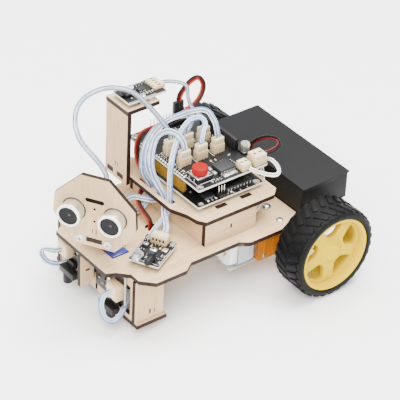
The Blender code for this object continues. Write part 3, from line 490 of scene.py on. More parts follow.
MOTOR_LEFT_ROUTE = [
    (30.9, -36.0, 86.9), (32.8, -35.0, 86.3), (35.5, -30.5, 83.8), (38.5, -24.5, 81.5),
    (40.2, -20.6, 81.3), (39.0, -18.2, 83.0), (35.5, -17.7, 85.3), (31.5, -17.9, 86.4),
    (28.2, -17.7, 85.6), (24.0, -17.5, 83.0), (20.5, -16.8, 78.0), (19.0, -15.2, 71.0),
    (19.5, -14.6, 65.0), (23.0, -17.5, 59.5), (30.0, -24.5, 57.0), (34.7, -31.0, 55.5),
    (35.6, -38.0, 54.0), (35.6, -49.0, 51.5),
    (35.6, -57.0, 50.8),
    (35.6, -61.3, 48.3), (35.6, -62.3, 43.5), (35.6, -65.0, 38.5), (35.7, -65.3, 34.6),
    (35.9, -62.5, 32.6), (35.9, -58.4, 32.5),
]
MAST_ROUTE = [
    (-36.5, -57.2, 124.2), (-36.0, -53.0, 123.6), (-34.0, -47.0, 122.0),
    (-32.7, -42.3, 119.5), (-31.8, -40.0, 116.0), (-30.5, -40.4, 110.5),
    (-28.5, -39.5, 104.5), (-25.5, -37.6, 100.5), (-20.0, -37.0, 99.4),
    (-15.3, -38.6, 98.9), (-13.9, -39.4, 96.2),
]
OBSTACLE_LEFT_ROUTE = [
    (1.1, -66.4, 96.2), (0.8, -66.6, 99.5), (-1.5, -67.2, 103.2), (-6.0, -68.6, 105.4),
    (-12.0, -71.8, 104.8), (-14.8, -77.5, 99.6), (-9, -85, 91.0),
    (-4.5, -86.7, 82.0), (0.0, -84.8, 74.0), (3.6, -82.8, 67.0), (5, -84.0, 63.0),
    (10, -88.0, 60.5), (15.5, -90.5, 58.0), (20.8, -94.1, 55.9), (22.99, -98.3, 55.5),
]
OBSTACLE_RIGHT_ROUTE = [
    (1.1, -39.4, 96.2), (0.4, -39.6, 99.8), (-3.6, -38.3, 103.8), (-8.2, -37.2, 105.2),
    (-13.8, -36.0, 105.8), (-18.7, -37.8, 105.6), (-22.3, -44.0, 104.6), (-24.0, -52.0, 103.6),
    (-24.3, -63.0, 102.2), (-19.5, -77.0, 98.5), (-12.6, -86.5, 92.0), (-8.8, -88.3, 83.5),
    (-5.0, -85.6, 75.0), (-1.2, -82.8, 67.8), (-1.9, -82.8, 62.4), (-6.5, -86.6, 60.5),
    (-12.5, -91.0, 60.6), (-18.0, -92.2, 58.4), (-21.1, -94.7, 55.7), (-22.99, -98.3, 55.5),
]
LINE_LEFT_ROUTE = [
    (1.1, -52.9, 96.2), (0.8, -52.6, 98.8), (-1.2, -50.2, 102.4), (-6.5, -44.6, 104.4),
    (-12.8, -43.2, 104.4), (-15.6, -48.3, 103.8), (-13.2, -54.8, 103.0), (-8.6, -62.7, 101.9),
    (0, -73, 100.5), (6.2, -80.5, 94.0), (8.5, -83, 83.0),
    (8.9, -82.8, 67.0), (9.6, -84.3, 59.5), (11.0, -93, 53.5), (11.5, -98.6, 48.5),
    (11.7, -100.3, 43.0), (14, -105, 37.0), (19, -113, 29.0), (25, -123.5, 20.5),
    (29.5, -131.6, 16.7),
    (31.8, -137.5, 12.5), (32.0, -143.5, 11.0), (30, -148.5, 15.5), (28, -149.5, 23.5),
    (27.5, -148, 29.3), (27.5, -145.0, 31.0), (27.5, -142.0, 31.0),
]
LINE_RIGHT_ROUTE = [
    (-13.9, -52.9, 96.1), (-13.9, -52.8, 98.4), (-15.5, -49.4, 100.4), (-19.3, -44.8, 101.0),
    (-23.3, -44.6, 101.0), (-25.6, -49.0, 101.1), (-26.5, -59, 101.0), (-24.5, -72, 99.0),
    (-18.5, -83.5, 95.0), (-13.8, -89.0, 85.0), (-12.8, -88.0, 76.0), (-12.6, -83.2, 67.5),
    (-12.4, -83.4, 60.0), (-11.6, -88.5, 53.5), (-11.5, -97.0, 50.0),
    (-11.7, -100.3, 43.0), (-14, -106, 37.0),
    (-19, -114, 28.5), (-25, -123.5, 20.5), (-30.0, -131.6, 16.7), (-34.0, -138, 13.5),
    (-38, -145, 15.5), (-39, -149, 22.0), (-36, -151, 29.0), (-31, -149.8, 32.2),
    (-28.2, -146.5, 31.5), (-27.5, -142.0, 31.0),
]

LEAD_SPACING = 1.6
RIBBON_FACING = Vector((0.636, -0.515, 0.574))      # the flat side of each lead looks this way
WIRE_SIDES = 10


def smooth_route(points, spacing):
    """Evenly spaced points on a smooth curve through a lead's route."""
    knots = [Vector(p) for p in points]
    knots = [2 * knots[0] - knots[1]] + knots + [2 * knots[-1] - knots[-2]]
    fine = []
    for a, b, c, d in zip(knots, knots[1:], knots[2:], knots[3:]):
        for k in range(12):
            t = k / 12
            fine.append(0.5 * (2 * b + (c - a) * t + (2 * a - 5 * b + 4 * c - d) * t * t
                               + (3 * b - a - 3 * c + d) * t ** 3))
    fine.append(knots[-2])
    length = sum((q - p).length for p, q in zip(fine, fine[1:]))
    count = max(4, round(length / spacing))
    even, walked, target = [fine[0]], 0.0, length / count
    for p, q in zip(fine, fine[1:]):
        step = (q - p).length
        while walked + step >= target and len(even) < count:
            even.append(p.lerp(q, (target - walked) / step))
            target += length / count
        walked += step
    return even + [fine[-1]]


def ribbon_frames(points):
    """For each point, the way across the ribbon and the way through it."""
    tangents = [(b - a).normalized() for a, b in
                zip([points[0]] + points[:-1], points[1:] + [points[-1]])]
    frames, side = [], tangents[0].cross(RIBBON_FACING).normalized()
    for tangent in tangents:
        spread = tangent.cross(RIBBON_FACING)
        if spread.dot(side) < 0:
            spread = -spread
        side = 2.0 * side + spread
        side = (side - side.dot(tangent) * tangent).normalized()
        frames.append((side, tangent.cross(side)))
    return frames


def wire(piece, points, frames, across, radius):
    """One round wire of a ribbon, at a distance across from its middle."""
    rings = []
    for point, (u, v) in zip(points, frames):
        middle = point + u * across
        rings.append([piece.verts.new(middle + radius * (u * a + v * b))
                      for a, b in circle(0, 0, 1.0, WIRE_SIDES)])
    faces = [piece.faces.new(rings[0]), piece.faces.new(rings[-1])]
    for first, second in zip(rings, rings[1:]):
        for k in range(WIRE_SIDES):
            n = (k + 1) % WIRE_SIDES
            faces.append(piece.faces.new((first[k], first[n], second[n], second[k])))
    return faces


def lead(node, route, looks, radius, gap=-0.04):
    """A lead of several thin wires along the CAD lead's own line, with a gap in radii."""
    line = smooth_route(route, LEAD_SPACING)
    frames = ribbon_frames(line)
    pitch, half = (2 + gap) * radius, (len(looks) - 1) / 2
    names = sorted(set(looks), key=looks.index)
    piece = bmesh.new()
    for k, look_name in enumerate(looks):
        for face in wire(piece, line, frames, (k - half) * pitch, radius):
            face.material_index = names.index(look_name)
            face.smooth = True
    bmesh.ops.recalc_face_normals(piece, faces=piece.faces)
    bmesh.ops.transform(piece, matrix=to_metres(CAR), verts=piece.verts)
    mesh = bpy.data.meshes.new(f"{node}_wires")
    piece.to_mesh(mesh)
    piece.free()
    mesh.set_sharp_from_angle(angle=radians(60))
    for look_name in names:
        mesh.materials.append(look(look_name))
    obj = add(mesh.name, mesh)
    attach(obj, "chassis")
    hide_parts(node)


def all_leads(servo_plug):
    clear, blue, milk, dull = "wire_clear", "wire_blue", "wire_milk", "wire_grey"
    lead("sonar_ribbon", SONAR_ROUTE, [dull, milk, clear, dull], 0.42)
    lead("servo_lead", SERVO_ROUTE, ["wire_orange", "wire_red", "wire_brown"], 0.60)
    lead("battery_lead", BATTERY_ROUTE, ["wire_black", "wire_red"], 0.72)
    lead("motor_lead_left", MOTOR_LEFT_ROUTE, ["wire_white"] * 2, 0.52, 0.85)
    lead("mast_sensor_lead", MAST_ROUTE, [dull, milk, dull], 0.42)
    for node, route, looks in (
            ("obstacle_lead_left", OBSTACLE_LEFT_ROUTE, [clear, milk, blue, milk]),
            ("obstacle_lead_right", OBSTACLE_RIGHT_ROUTE, [milk, dull, milk, blue]),
            ("line_lead_left", LINE_LEFT_ROUTE, [blue, milk, clear, milk]),
            ("line_lead_right", LINE_RIGHT_ROUTE, [milk, blue, milk, dull])):
        lead(node, route, looks, 0.47)


# ---------------------------------------------------------------- CAD nodes that stay

HEAD_FORWARD = (-sin(HEAD_YAW), cos(HEAD_YAW), 0.0)
PLY_NODES = {
    # node: (direction through the sheet, direction of the grain)
    "lower_deck": (ALONG_Z, ALONG_Y), "upper_deck": (ALONG_Z, ALONG_X),
    "front_cross_panel": (ALONG_Y, ALONG_X), "mast": (ALONG_Y, ALONG_Z),
    "mast_shelf": (ALONG_Z, ALONG_Y), "nose_post": (ALONG_X, ALONG_Z),
    "head_bracket": (ALONG_Z, ALONG_Y), "head_face": (HEAD_FORWARD, ALONG_Z),
}
PLY_PAIRS = {
    "side_panel": (ALONG_X, ALONG_Y), "inner_rib": (ALONG_X, ALONG_Y),
    "pod_front": (ALONG_Y, ALONG_Z), "pod_side": (ALONG_X, ALONG_Z),
    "pod_base": (ALONG_Z, ALONG_Y),
}
KEPT_NODES = {"servo_horn": "white", "power_switch": "black",
              "cell_front": "cell_wrap", "cell_rear": "cell_wrap"}
KEPT_PAIRS = {"output_gear": "white", "reduction_gear": "white", "motor_pinion": "brass",
              "gearbox": "orange"}


def both_sides(pairs):
    return {f"{name}_{word}": value for name, value in pairs.items() for word in ("left", "right")}


def paint(node, material):
    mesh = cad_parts[node].data
    mesh.materials.clear()
    mesh.materials.append(material)


def kept_nodes():
    for node, (axis, grain) in {**PLY_NODES, **both_sides(PLY_PAIRS)}.items():
        paint(node, ply(node, axis, grain))
    for node, look_name in {**KEPT_NODES, **both_sides(KEPT_PAIRS)}.items():
        paint(node, look(look_name))


# ---------------------------------------------------------------- small parts

MASK = 0.12
PCB = 1.6


def board(group, x, y, low, corner=1.0, holes=()):
    """A circuit board: a pale core whose edge shows, masked black above and below."""
    ring = rounded_box(x, y, corner)
    inner = rounded_box(inset(x, MASK), inset(y, MASK), corner)
    bores = [circle(hx, hy, radius, 16) for hx, hy, radius in holes]
    top = low + PCB
    group.outline("fibreglass", [ring] + bores, low + MASK, top - MASK, 0.05)
    group.outline("board", [inner] + bores, low, low + MASK + 0.02, 0.02)
    group.outline("board", [inner] + bores, top - MASK - 0.02, top, 0.02)
    for hx, hy, radius in holes:
        pad = [circle(hx, hy, radius + 0.9, 20), circle(hx, hy, radius + 0.05, 20)]
        group.outline("tin", pad, top - 0.02, top + 0.04, 0.01)


def smd(group, x, y, z, turned=False, kind="ceramic"):
    """A surface-mounted resistor or capacitor with its two soldered ends."""
    half, wide, tall = 0.95, 0.55, 0.6
    for look_name, low, high, extra in ((kind, -0.7, 0.7, 0.0), ("tin", -1.0, -0.66, 0.03),
                                        ("tin", 0.66, 1.0, 0.03)):
        along, across = (low * half, high * half), (-wide, wide)
        sides = (across, along) if turned else (along, across)
        group.box(look_name, (x + sides[0][0], x + sides[0][1]),
                  (y + sides[1][0], y + sides[1][1]), (z, z + tall + extra), 0.06)


def chip(group, x, y, z, tall=1.5, legs=6, legs_along_y=True):
    """A chip with gull-wing legs on two of its sides."""
    group.box("chip", x, y, (z + 0.15, z + tall), 0.12)
    run, edges = (y, x) if legs_along_y else (x, y)
    pitch = (run[1] - run[0]) / legs
    for middle in row(run, legs):
        leg = about(middle, pitch * 0.2)
        for edge, sign in zip(edges, (-1, 1)):
            for reach, low, high in ((0.9, 0, 0.25), (0.25, 0.1, 0.6 * tall)):
                foot = (edge - sign * 0.1, edge + sign * reach)
                sides = (foot, leg) if legs_along_y else (leg, foot)
                group.box("tin", *sides, (z + low, z + high), 0.04)
    dot = (x[0] + 0.8, y[0] + 0.8)
    group.rod("slot", 0.3, (*dot, z + tall - 0.05), (*dot, z + tall + 0.02), 12, 0.02)


def pin_row(group, x, y, z, count):
    """Square pins along Y, in a moulded strip."""
    group.box("black", x, y, (z[0], z[0] + 2.5), 0.15)
    for middle in row(y, count):
        group.block("tin", (sum(x) / 2, middle), (0.32, 0.32), z, 0.1)


def solder_row(group, x, y, z, count):
    """Domed solder joints along X."""
    for middle in row(x, count):
        group.lathe("tin", [(0, 0.85), (0.25, 0.7), (0.7, 0.3), (0.9, 0)], (middle, sum(y) / 2, z),
                    ALONG_Z, 10)


def plug(group, x, y, low, high, ways=4):
    """A keyed board socket with its wire housing pushed in, open slots on both sides."""
    split = low + (high - low) * 0.58
    group.box("cream", x, y, (low, split), 0.3)
    inner_x, inner_y = inset(x, 0.45), inset(y, 0.45)
    group.box("ivory", inner_x, inner_y, (split - 1.5, high), 0.25)
    half = 0.28 * ((inner_y[1] - inner_y[0]) / ways)
    for middle in row(inner_y, ways):
        for edge in inner_x:
            group.block("cream", (edge, middle), (0.05, half), (split + 0.6, high - 1.2), 0.02)
        # the openings on top are thin near-black sheets of painted shade
        group.block("slot", (sum(inner_x) / 2, middle), (0.6, half), (high - 0.1, high + 0.03), 0.01)
        for edge in x:
            group.block("tin", (edge, middle), (0.35, 0.25), (low - 0.02, low + 1.0), 0.05)


def screw(group, place, direction=ALONG_Z, radius=2.6, tall=1.5, look_name="steel"):
    """A domed screw head, its cross recess drawn as a dark cross of painted shade on top."""
    direction = Vector(direction)
    dome = [(0, 0), (0, radius), (tall * 0.45, radius), (tall * 0.8, radius * 0.8),
            (tall, radius * 0.45), (tall, 0)]
    group.lathe(look_name, dome, place, direction, 24)
    turn = direction.to_track_quat("Z", "Y").to_matrix()
    top = Vector(place) + direction * tall
    for half in ((0.9, 0.3), (0.3, 0.9)):
        group.box("slot", about(top.x, half[0]), about(top.y, half[1]),
                  (top.z - 0.15, top.z + 0.03), 0.02, turn)


def spacer(group, x, y, low, high, radius):
    group.rod("nylon", radius, (x, y, low), (x, y, high), 6, 0.25)


def ticks(group, places, half):
    """Plain burnt tick marks on a plate, where a kit numbers its pieces."""
    for place in places:
        group.box("burn", *(about(v, h) for v, h in zip(place, half)), 0.02)


def standing_board(group, half_x, half_z, corner, place, core, skin):
    """A circuit board standing across Y, masked black on both of its faces."""
    x, y, z = place
    edge = rounded_box(about(0, half_x), about(0, half_z), corner)
    face = rounded_box(about(0, half_x - 0.1), about(0, half_z - 0.1), corner)
    group.outline("fibreglass", [edge], -core, core, 0.05, STANDING, place)
    for side in (-1, 1):
        group.outline("board", [face], -skin, skin, 0.02, STANDING,
                      (x, y + side * (PCB / 2 - skin), z))


# ---------------------------------------------------------------- head

FACE_FRONT = -18.0
FACE_HEIGHT = 80.7


def head():
    back = FACE_FRONT + 3.3
    sonar = Group("sonar", "head", "circuit_board", HEAD)
    standing_board(sonar, 22.5, 10, 1.0, (0, back + PCB / 2, FACE_HEIGHT), 0.7, 0.07)
    rear = back + PCB
    for x in ((8.0, 17.0), (-17.0, -8.0)):
        sonar.box("chip", x, (rear, rear + 1.6), (74.5, 79.0), 0.12)
    sonar.rod("silver", 2.2, (0, rear, 75), (0, rear + 3.2, 75), 20, 0.3)
    for x in steps(-19, 6.2, 7):
        sonar.box("ceramic", (x, x + 1.6), (rear, rear + 0.6), (84, 84.9), 0.1)
    sonar.box("cream", (-6.0, 6.0), (rear - 0.1, -6.3), (83.0, 89.5), 0.35)
    sonar.box("ivory", (-5.2, 5.2), (-6.6, 2.5), (83.5, 89.0), 0.35)
    sonar.box("ivory", (-2.6, 2.6), (-1.6, 2.2), (88.4, 92.8), 0.8)
    # the plug's openings on top are thin near-black sheets of painted shade
    for x in steps(-3.6, 2.4, 4):
        sonar.box("slot", about(x, 0.5), (-4.5, -0.5), (88.9, 89.1), 0.02)
    for x in (14.0, -14.0):
        eye(sonar, x, back)
    sonar.finish("sonar_sensor")
    face = Group("head_fittings", "head", "white_plastic", HEAD)
    for x in (9.5, -9.5):
        nylon_screw(face, x)
    ticks(face, [(-1.3, FACE_FRONT, 67.0), (1.3, FACE_FRONT, 67.0)], (0.3, 0.04, 1.7))
    ticks(face, [(19.5, FACE_FRONT, 62.5), (21.0, FACE_FRONT, 62.9)], (0.25, 0.04, 0.7))
    screw(face, (0, 0, 61.5), ALONG_Z, 2.2, 1.2)
    face.finish()


def eye(group, x, back):
    """One transducer: a drawn can with a rolled white rim round a mesh mouth."""
    front = FACE_FRONT - 9.5
    length = back - front
    can = [(length, 0), (length, 7.55), (2.4, 7.55), (1.9, 7.45), (1.7, 7.3), (1.7, 0)]
    group.lathe("silver", can, (x, front, FACE_HEIGHT), ALONG_Y, 48)
    collar = [(0, 6.5), (0, 7.5), (0.35, 7.9), (1.6, 7.9), (2.0, 7.55), (2.0, 6.5), (0, 6.5)]
    group.lathe("white", collar, (x, front, FACE_HEIGHT), ALONG_Y, 48)
    mouth = [(0, 0), (0, 6.6), (0.4, 6.6), (0.4, 0)]
    group.lathe("grille", mouth, (x, front + 0.9, FACE_HEIGHT), ALONG_Y, 48)
    group.lathe("cone", [(0, 0), (0, 0.7), (0.25, 1.0), (0.25, 0)],
                (x + 0.6, front + 0.75, FACE_HEIGHT + 0.6), ALONG_Y, 32)


def nylon_screw(group, x):
    """A pale screw head, with the worn metal of its middle showing and its cross drawn as a dark cross of
    painted shade.
    """
    height = 59.6
    group.lathe("nylon", [(0, 0), (0, 2.7), (0.7, 2.7), (1.3, 2.2), (1.5, 1.7), (1.5, 0)],
                (x, FACE_FRONT, height), FORWARD, 28)
    group.lathe("steel", [(0, 0), (0, 1.75), (0.25, 1.5), (0.25, 0)],
                (x, FACE_FRONT - 1.45, height), FORWARD, 28)
    for half_x, half_z in ((1.25, 0.3), (0.3, 1.25)):
        group.box("slot", about(x, half_x), (FACE_FRONT - 1.76, FACE_FRONT - 1.6),
                  about(height, half_z), 0.05)


# ---------------------------------------------------------------- servo

def servo():
    body = Group("servo", "chassis", "blue_plastic")
    y = about(SERVO_Y, 6.05)
    for low, high in ((25.3, 29.6), (29.75, 43.5), (43.65, 48.0)):
        body.box("blue", (-5.9, 16.9), y, (low, high), 0.5)
    body.box("blue", (-10.6, 21.6), about(SERVO_Y, 5.9), (41.2, 43.7), 0.4)
    body.rod("blue", 5.8, (0, SERVO_Y, 47.5), (0, SERVO_Y, 51.6), 32, 0.4)
    body.rod("blue", 2.9, (6.2, SERVO_Y, 47.5), (6.2, SERVO_Y, 51.0), 24, 0.3)
    body.rod("white", 2.3, (0, SERVO_Y, 51.2), (0, SERVO_Y, 54.9), 20, 0.2)
    for x in (-8.3, 19.3):
        screw(body, (x, SERVO_Y, 41.2), DOWN, 1.8, 1.1)
    body.finish("servo_body")


# ---------------------------------------------------------------- wheels

TREAD_STEPS = 30
TYRE_INNER = 55.0
TREAD_ROWS = ((62.4, 57.4, -28), (73.1, 78.1, 28))      # block, its shoulder and its lean
SPOKES = 5
WINDOW = [(11.6, -0.24), (21.8, -0.43), (22.6, -0.2), (22.6, 0.2), (21.8, 0.43), (11.6, 0.24)]


def tread_block(group, x, size, angle, skew, radius):
    """A bevelled block on the tread, turned about the axle."""
    piece = cube(size, 0.35)
    bmesh.ops.rotate(piece, matrix=Matrix.Rotation(skew, 3, "Z"), verts=piece.verts)
    bmesh.ops.translate(piece, vec=(x, 0, radius), verts=piece.verts)
    group.take("rubber", piece, Matrix.Rotation(angle, 3, "X"))


def tyre(side, word):
    rubber = Group(f"tyre_{word}", f"wheel_{word}", "tyre_rubber", WHEEL_FRAME)
    carcass = [(0.9, 26.7), (0.2, 27.1), (0, 28.5), (0.4, 30.0), (1.6, 31.0), (4.0, 31.65),
               (21.5, 31.65), (23.9, 31.0), (25.1, 30.0), (25.5, 28.5), (25.3, 27.1),
               (24.6, 26.7), (0.9, 26.7)]
    rubber.lathe("rubber", carcass, (side * TYRE_INNER, 0, 0), (side, 0, 0), 96)
    pitch = 2 * pi / TREAD_STEPS
    for k in range(TREAD_STEPS):
        for stagger, (x, shoulder, lean) in enumerate(TREAD_ROWS):
            angle = (k + 0.5 * stagger) * pitch
            tread_block(rubber, side * x, (10.2, 3.7, 1.5), angle, radians(lean) * side, 31.6)
            tread_block(rubber, side * shoulder, (2.2, 3.4, 1.9), angle + 0.42 * pitch, 0.0, 30.9)
    rubber.finish(f"tyre_{word}")


def rim(side, word):
    yellow = Group(f"rim_{word}", f"wheel_{word}", "yellow_plastic", WHEEL_FRAME)
    barrel = [(0.5, 26.4), (0.5, 24.2), (2.0, 23.9), (15.5, 23.4), (22.5, 23.4), (23.6, 23.9),
              (24.6, 24.6), (25.0, 25.4), (25.0, 26.1), (24.7, 26.4), (0.5, 26.4)]
    yellow.lathe("yellow", barrel, (side * TYRE_INNER, 0, 0), (side, 0, 0), 96)
    rings = [circle(0, 0, 23.9, 96)]
    for k in range(SPOKES):
        turn = (2 * k + 1) * pi / SPOKES
        window = [(r * cos(turn + a), r * sin(turn + a)) for r, a in WINDOW]
        rings.append(rounded(window, 2.6, 6))
    stand = Matrix.Rotation(side * pi / 2, 3, "Y")
    yellow.outline("yellow", rings, -2.0, 2.0, 0.7, stand, (side * 72.5, 0, 0))
    hub = [(0, 3.0), (0, 6.0), (12.6, 6.4), (13.8, 9.2), (14.6, 9.4), (15.3, 8.6), (16.2, 6.2),
           (17.0, 5.6), (17.0, 3.4), (16.4, 3.1), (16.4, 0)]
    yellow.lathe("yellow", hub, (side * 60.0, 0, 0), (side, 0, 0), 48)
    yellow.finish(f"rim_{word}")


# ---------------------------------------------------------------- motors and caster

MOTOR_X = 35.9
GEARBOX_OUTER = 45.3
CASTER_Y = -98.0
BALL_RADIUS = 7.5


def can_ring(radius, flat):
    """A circle with flats on its two sides, as the motor cans have."""
    return [(max(-flat, min(flat, x)), y) for x, y in circle(0, 0, radius, 48)]


def motor(side, word):
    metal = Group(f"motor_{word}", "chassis", "bare_steel")
    middle = side * MOTOR_X
    metal.outline("steel", [can_ring(10.0, 7.7)], -10.0, 9.9, 0.5, STANDING,
                  (middle, -46.4, AXLE_HEIGHT))
    metal.outline("white", [can_ring(9.4, 7.3)], -0.9, 0.9, 0.3, STANDING,
                  (middle, -57.0, AXLE_HEIGHT))
    metal.rod("brass", 2.6, (middle, -57.8, AXLE_HEIGHT), (middle, -58.3, AXLE_HEIGHT), 20, 0.1)
    metal.outline("strap", [can_ring(11.2, 9.0), can_ring(10.2, 7.9)], -6.0, 6.0, 0.3, STANDING,
                  (middle, -46.5, AXLE_HEIGHT))
    metal.box("strap", about(middle, 6.5), (-58.0, -36.5), (20.6, 21.5), 0.3)
    metal.finish(f"motor_can_{word}")
    shell = Group(f"gearbox_trim_{word}", "chassis", "orange_plastic")
    outer = side * GEARBOX_OUTER
    for y in (-33.0, -26.0, -19.0):
        shell.box("orange", (outer, outer + side * 0.5), (y, y + 3.0), (23.0, 42.0), 0.2)
    for y, z in ((-31.5, 24.5), (-31.5, 40.5), (8.0, 24.5), (8.0, 40.5)):
        shell.rod("steel", 1.5, (outer, y, z), (outer + side * 0.8, y, z), 20, 0.15)
    shell.rod("white", 4.4, (outer - side * 0.4, 0, AXLE_HEIGHT),
              (outer + side * 1.6, 0, AXLE_HEIGHT), 28, 0.3)
    shell.finish()


def caster():
    cup = Group("caster", "chassis", "black_plastic")
    room, middle, turns = 7.8, 3.5, 10
    lip = -asin(middle / room)
    angles = [lip + (pi / 2 - lip) * k / turns for k in range(turns + 1)]
    bowl = [(0, 12.5), (9.0, 12.5), (9.9, 11.6), (9.9, 0.6), (9.5, 0)]
    bowl += [(room * cos(a), middle + room * sin(a)) for a in angles[:-1]] + [(0, middle + room)]
    cup.lathe("black", bowl, (0, CASTER_Y, 4.0), ALONG_Z, 48)
    flange = rounded_box((-17, 17), (-6, 6), 5.0)
    cup.outline("black", [flange], 16.0, 18.5, 0.3, None, (0, CASTER_Y, 0))
    for x in (13.5, -13.5):
        cup.rod("brass", 2.5, (x, -95.0, 18.2), (x, -95.0, 43.7), 6, 0.25)
        cup.lathe("steel", [(0, 0), (0, 2.4), (0.8, 2.2), (1.2, 0)], (x, -95.0, 16.0), DOWN, 20)
    cup.finish("caster_cup")
    ball = Group("ball", "caster", "polished_steel", CAR @ Matrix.Translation((0, CASTER_Y, BALL_RADIUS)))
    arc = [(-BALL_RADIUS * cos(pi * k / 24), BALL_RADIUS * sin(pi * k / 24)) for k in range(25)]
    ball.lathe("chrome", arc, (0, 0, 0), ALONG_Z, 48)
    ball.finish("caster_ball")


# ---------------------------------------------------------------- battery box

BOX_X, BOX_Y = 48.0, (-4.9, 34.9)


def battery():
    tub = Group("battery_tub", "chassis", "grey_box_plastic")
    outer = rounded_box((-BOX_X, BOX_X), BOX_Y, 1.6)
    inner = rounded_box((1.1 - BOX_X, BOX_X - 1.1), inset(BOX_Y, 1.1), 0.8)
    tub.outline("box_grey", [outer, inner], 47.3, 66.8, 0.2)
    tub.outline("box_grey", [outer], 47.3, 48.4, 0.2)
    tub.box("box_grey", (-28.0, -26.5), inset(BOX_Y, 0.6), (48.0, 62.0), 0.2)
    for x in ((-44.6, -43.2), (-32.8, -31.4)):
        tub.box("black", x, (34.7, 35.5), (54.0, 61.0), 0.15)
    for z in ((54.0, 54.9), (60.1, 61.0)):
        tub.box("black", (-44.6, -31.4), (34.7, 35.5), z, 0.15)
    tub.finish("battery_box")
    lid = Group("battery_cover", "lid", "grey_box_plastic")
    lid.outline("box_grey", [rounded_box((-BOX_X, BOX_X + 1.3), BOX_Y, 1.3)], 67.1, 68.1, 0.35)
    lip = [(-4.5, 67.5), (-4.5, 65.6), (20.5, 65.6), (23.8, 66.6), (24.4, 67.5)]
    stand = Matrix(((0, 0, 1), (1, 0, 0), (0, 1, 0)))
    lid.outline("box_grey", [lip], -0.5, 0.5, 0.15, stand, (BOX_X + 0.8, 0, 0))
    lid.finish("battery_lid")


# ---------------------------------------------------------------- the two large boards

CONTROLLER_LOW, CONTROLLER_TOP = 70.0, 71.6
SHIELD_LOW, SHIELD_TOP = 83.0, 84.6
HEADERS = (((-18.0, 14.0), 13), ((-37.0, -21.0), 6))    # the run along X, and its ways
BUTTON_X, BUTTON_Y = 18.5, -67.0


def controller():
    pcb = Group("controller")
    top = CONTROLLER_TOP
    board(pcb, (-37.8, 30.8), (-76.6, -23.2), CONTROLLER_LOW, 1.5,
          [(28.0, -72.5, 1.6), (28.0, -27.5, 1.6), (-24.0, -28.5, 1.6)])
    for y in ((-76.3, -73.8), (-27.4, -24.9)):
        for x, ways in HEADERS:
            header(pcb, x, y, top, 82.7, ways)
    pcb.box("silver", (-44.0, -27.5), (-47.0, -35.0), (top - 0.1, 82.3), 0.5)
    # the USB socket's mouth is a near-black sheet of painted shade
    pcb.box("slot", (-44.1, -43.0), (-45.6, -36.4), (73.6, 81.0), 0.05)
    pcb.box("black", (-39.8, -26.0), (-72.0, -63.0), (top - 0.1, 82.3), 0.4)
    # the power jack's hole is a near-black disc of painted shade
    pcb.rod("slot", 3.2, (-39.9, -67.5, 77.6), (-39.0, -67.5, 77.6), 24, 0.05)
    pcb.box("black", (-8.0, 26.6), (-52.0, -44.0), (72.6, 75.4), 0.3)
    for x in steps(-6.4, 2.45, 14):
        for y in (-52.5, -43.5):
            pcb.box("tin", about(x, 0.3), about(y, 0.25), (top - 0.05, 74.4), 0.06)
    chip(pcb, (20.0, 26.0), (-68.0, -60.0), top, 1.6, 8)
    chip(pcb, (-20.0, -13.0), (-60.0, -53.0), top, 1.4, 7)
    for k in range(7):
        smd(pcb, 28.6, -67.0 + 3.1 * k, top, kind="ceramic" if k % 2 else "white")
        smd(pcb, 14.0 - 4.2 * k, -70.6, top, turned=True)
    for x, y in ((-12.0, -66.0), (-4.0, -66.0)):
        pcb.rod("silver", 3.1, (x, y, top - 0.05), (x, y, 77.4), 28, 0.35)
        pcb.box("black", about(x, 3.3), about(y, 3.3), (top - 0.02, 72.6), 0.2)
    pcb.box("silver", (4.0, 14.5), (-61.5, -57.5), (top, 75.0), 1.2)
    pin_row(pcb, (25.6, 30.6), (-59.5, -53.0), (top, 80.0), 3)
    pcb.box("chip", (24.6, 27.9), (-51.8, -31.0), (top, 75.2), 0.2)
    for y in steps(-50.4, 2.54, 8):
        pcb.box("tin", (27.9, 28.3), about(y, 0.3), (top, 74.4), 0.08)
    for y in steps(-58.5, 5.6, 5):
        pcb.box("print", (29.0, 30.2), (y, y + 0.4), (top - 0.02, top + 0.03), 0.01)
    for x in (-30.0, 24.0):
        for y in (-70.0, -30.0):
            spacer(pcb, x, y, 67.4, 70.1, 2.6)
    pcb.finish("controller_board")


def header(group, x, y, low, high, ways):
    """A tall socket strip: black foot, yellow body, and the shield's pins going in."""
    foot = low + 2.4
    group.box("black", x, y, (low - 0.05, foot), 0.1)
    group.box("header_yellow", inset(x, 0.1), inset(y, 0.05), (foot - 0.2, high - 0.9), 0.08)
    for middle in row(x, ways):
        # dark strips down the yellow body at each way are near-black sheets of painted shade
        group.box("slot", about(middle, 0.12), inset(y, 0.02), (foot, high - 0.95), 0.02)
        group.box("black", about(middle, 0.95), inset(y, 0.1), (high - 0.95, high + 0.25), 0.1)


SENSOR_ROWS = (-1.5, -16.5)
SENSOR_PLACES = (-70.6, -57.1, -43.6)


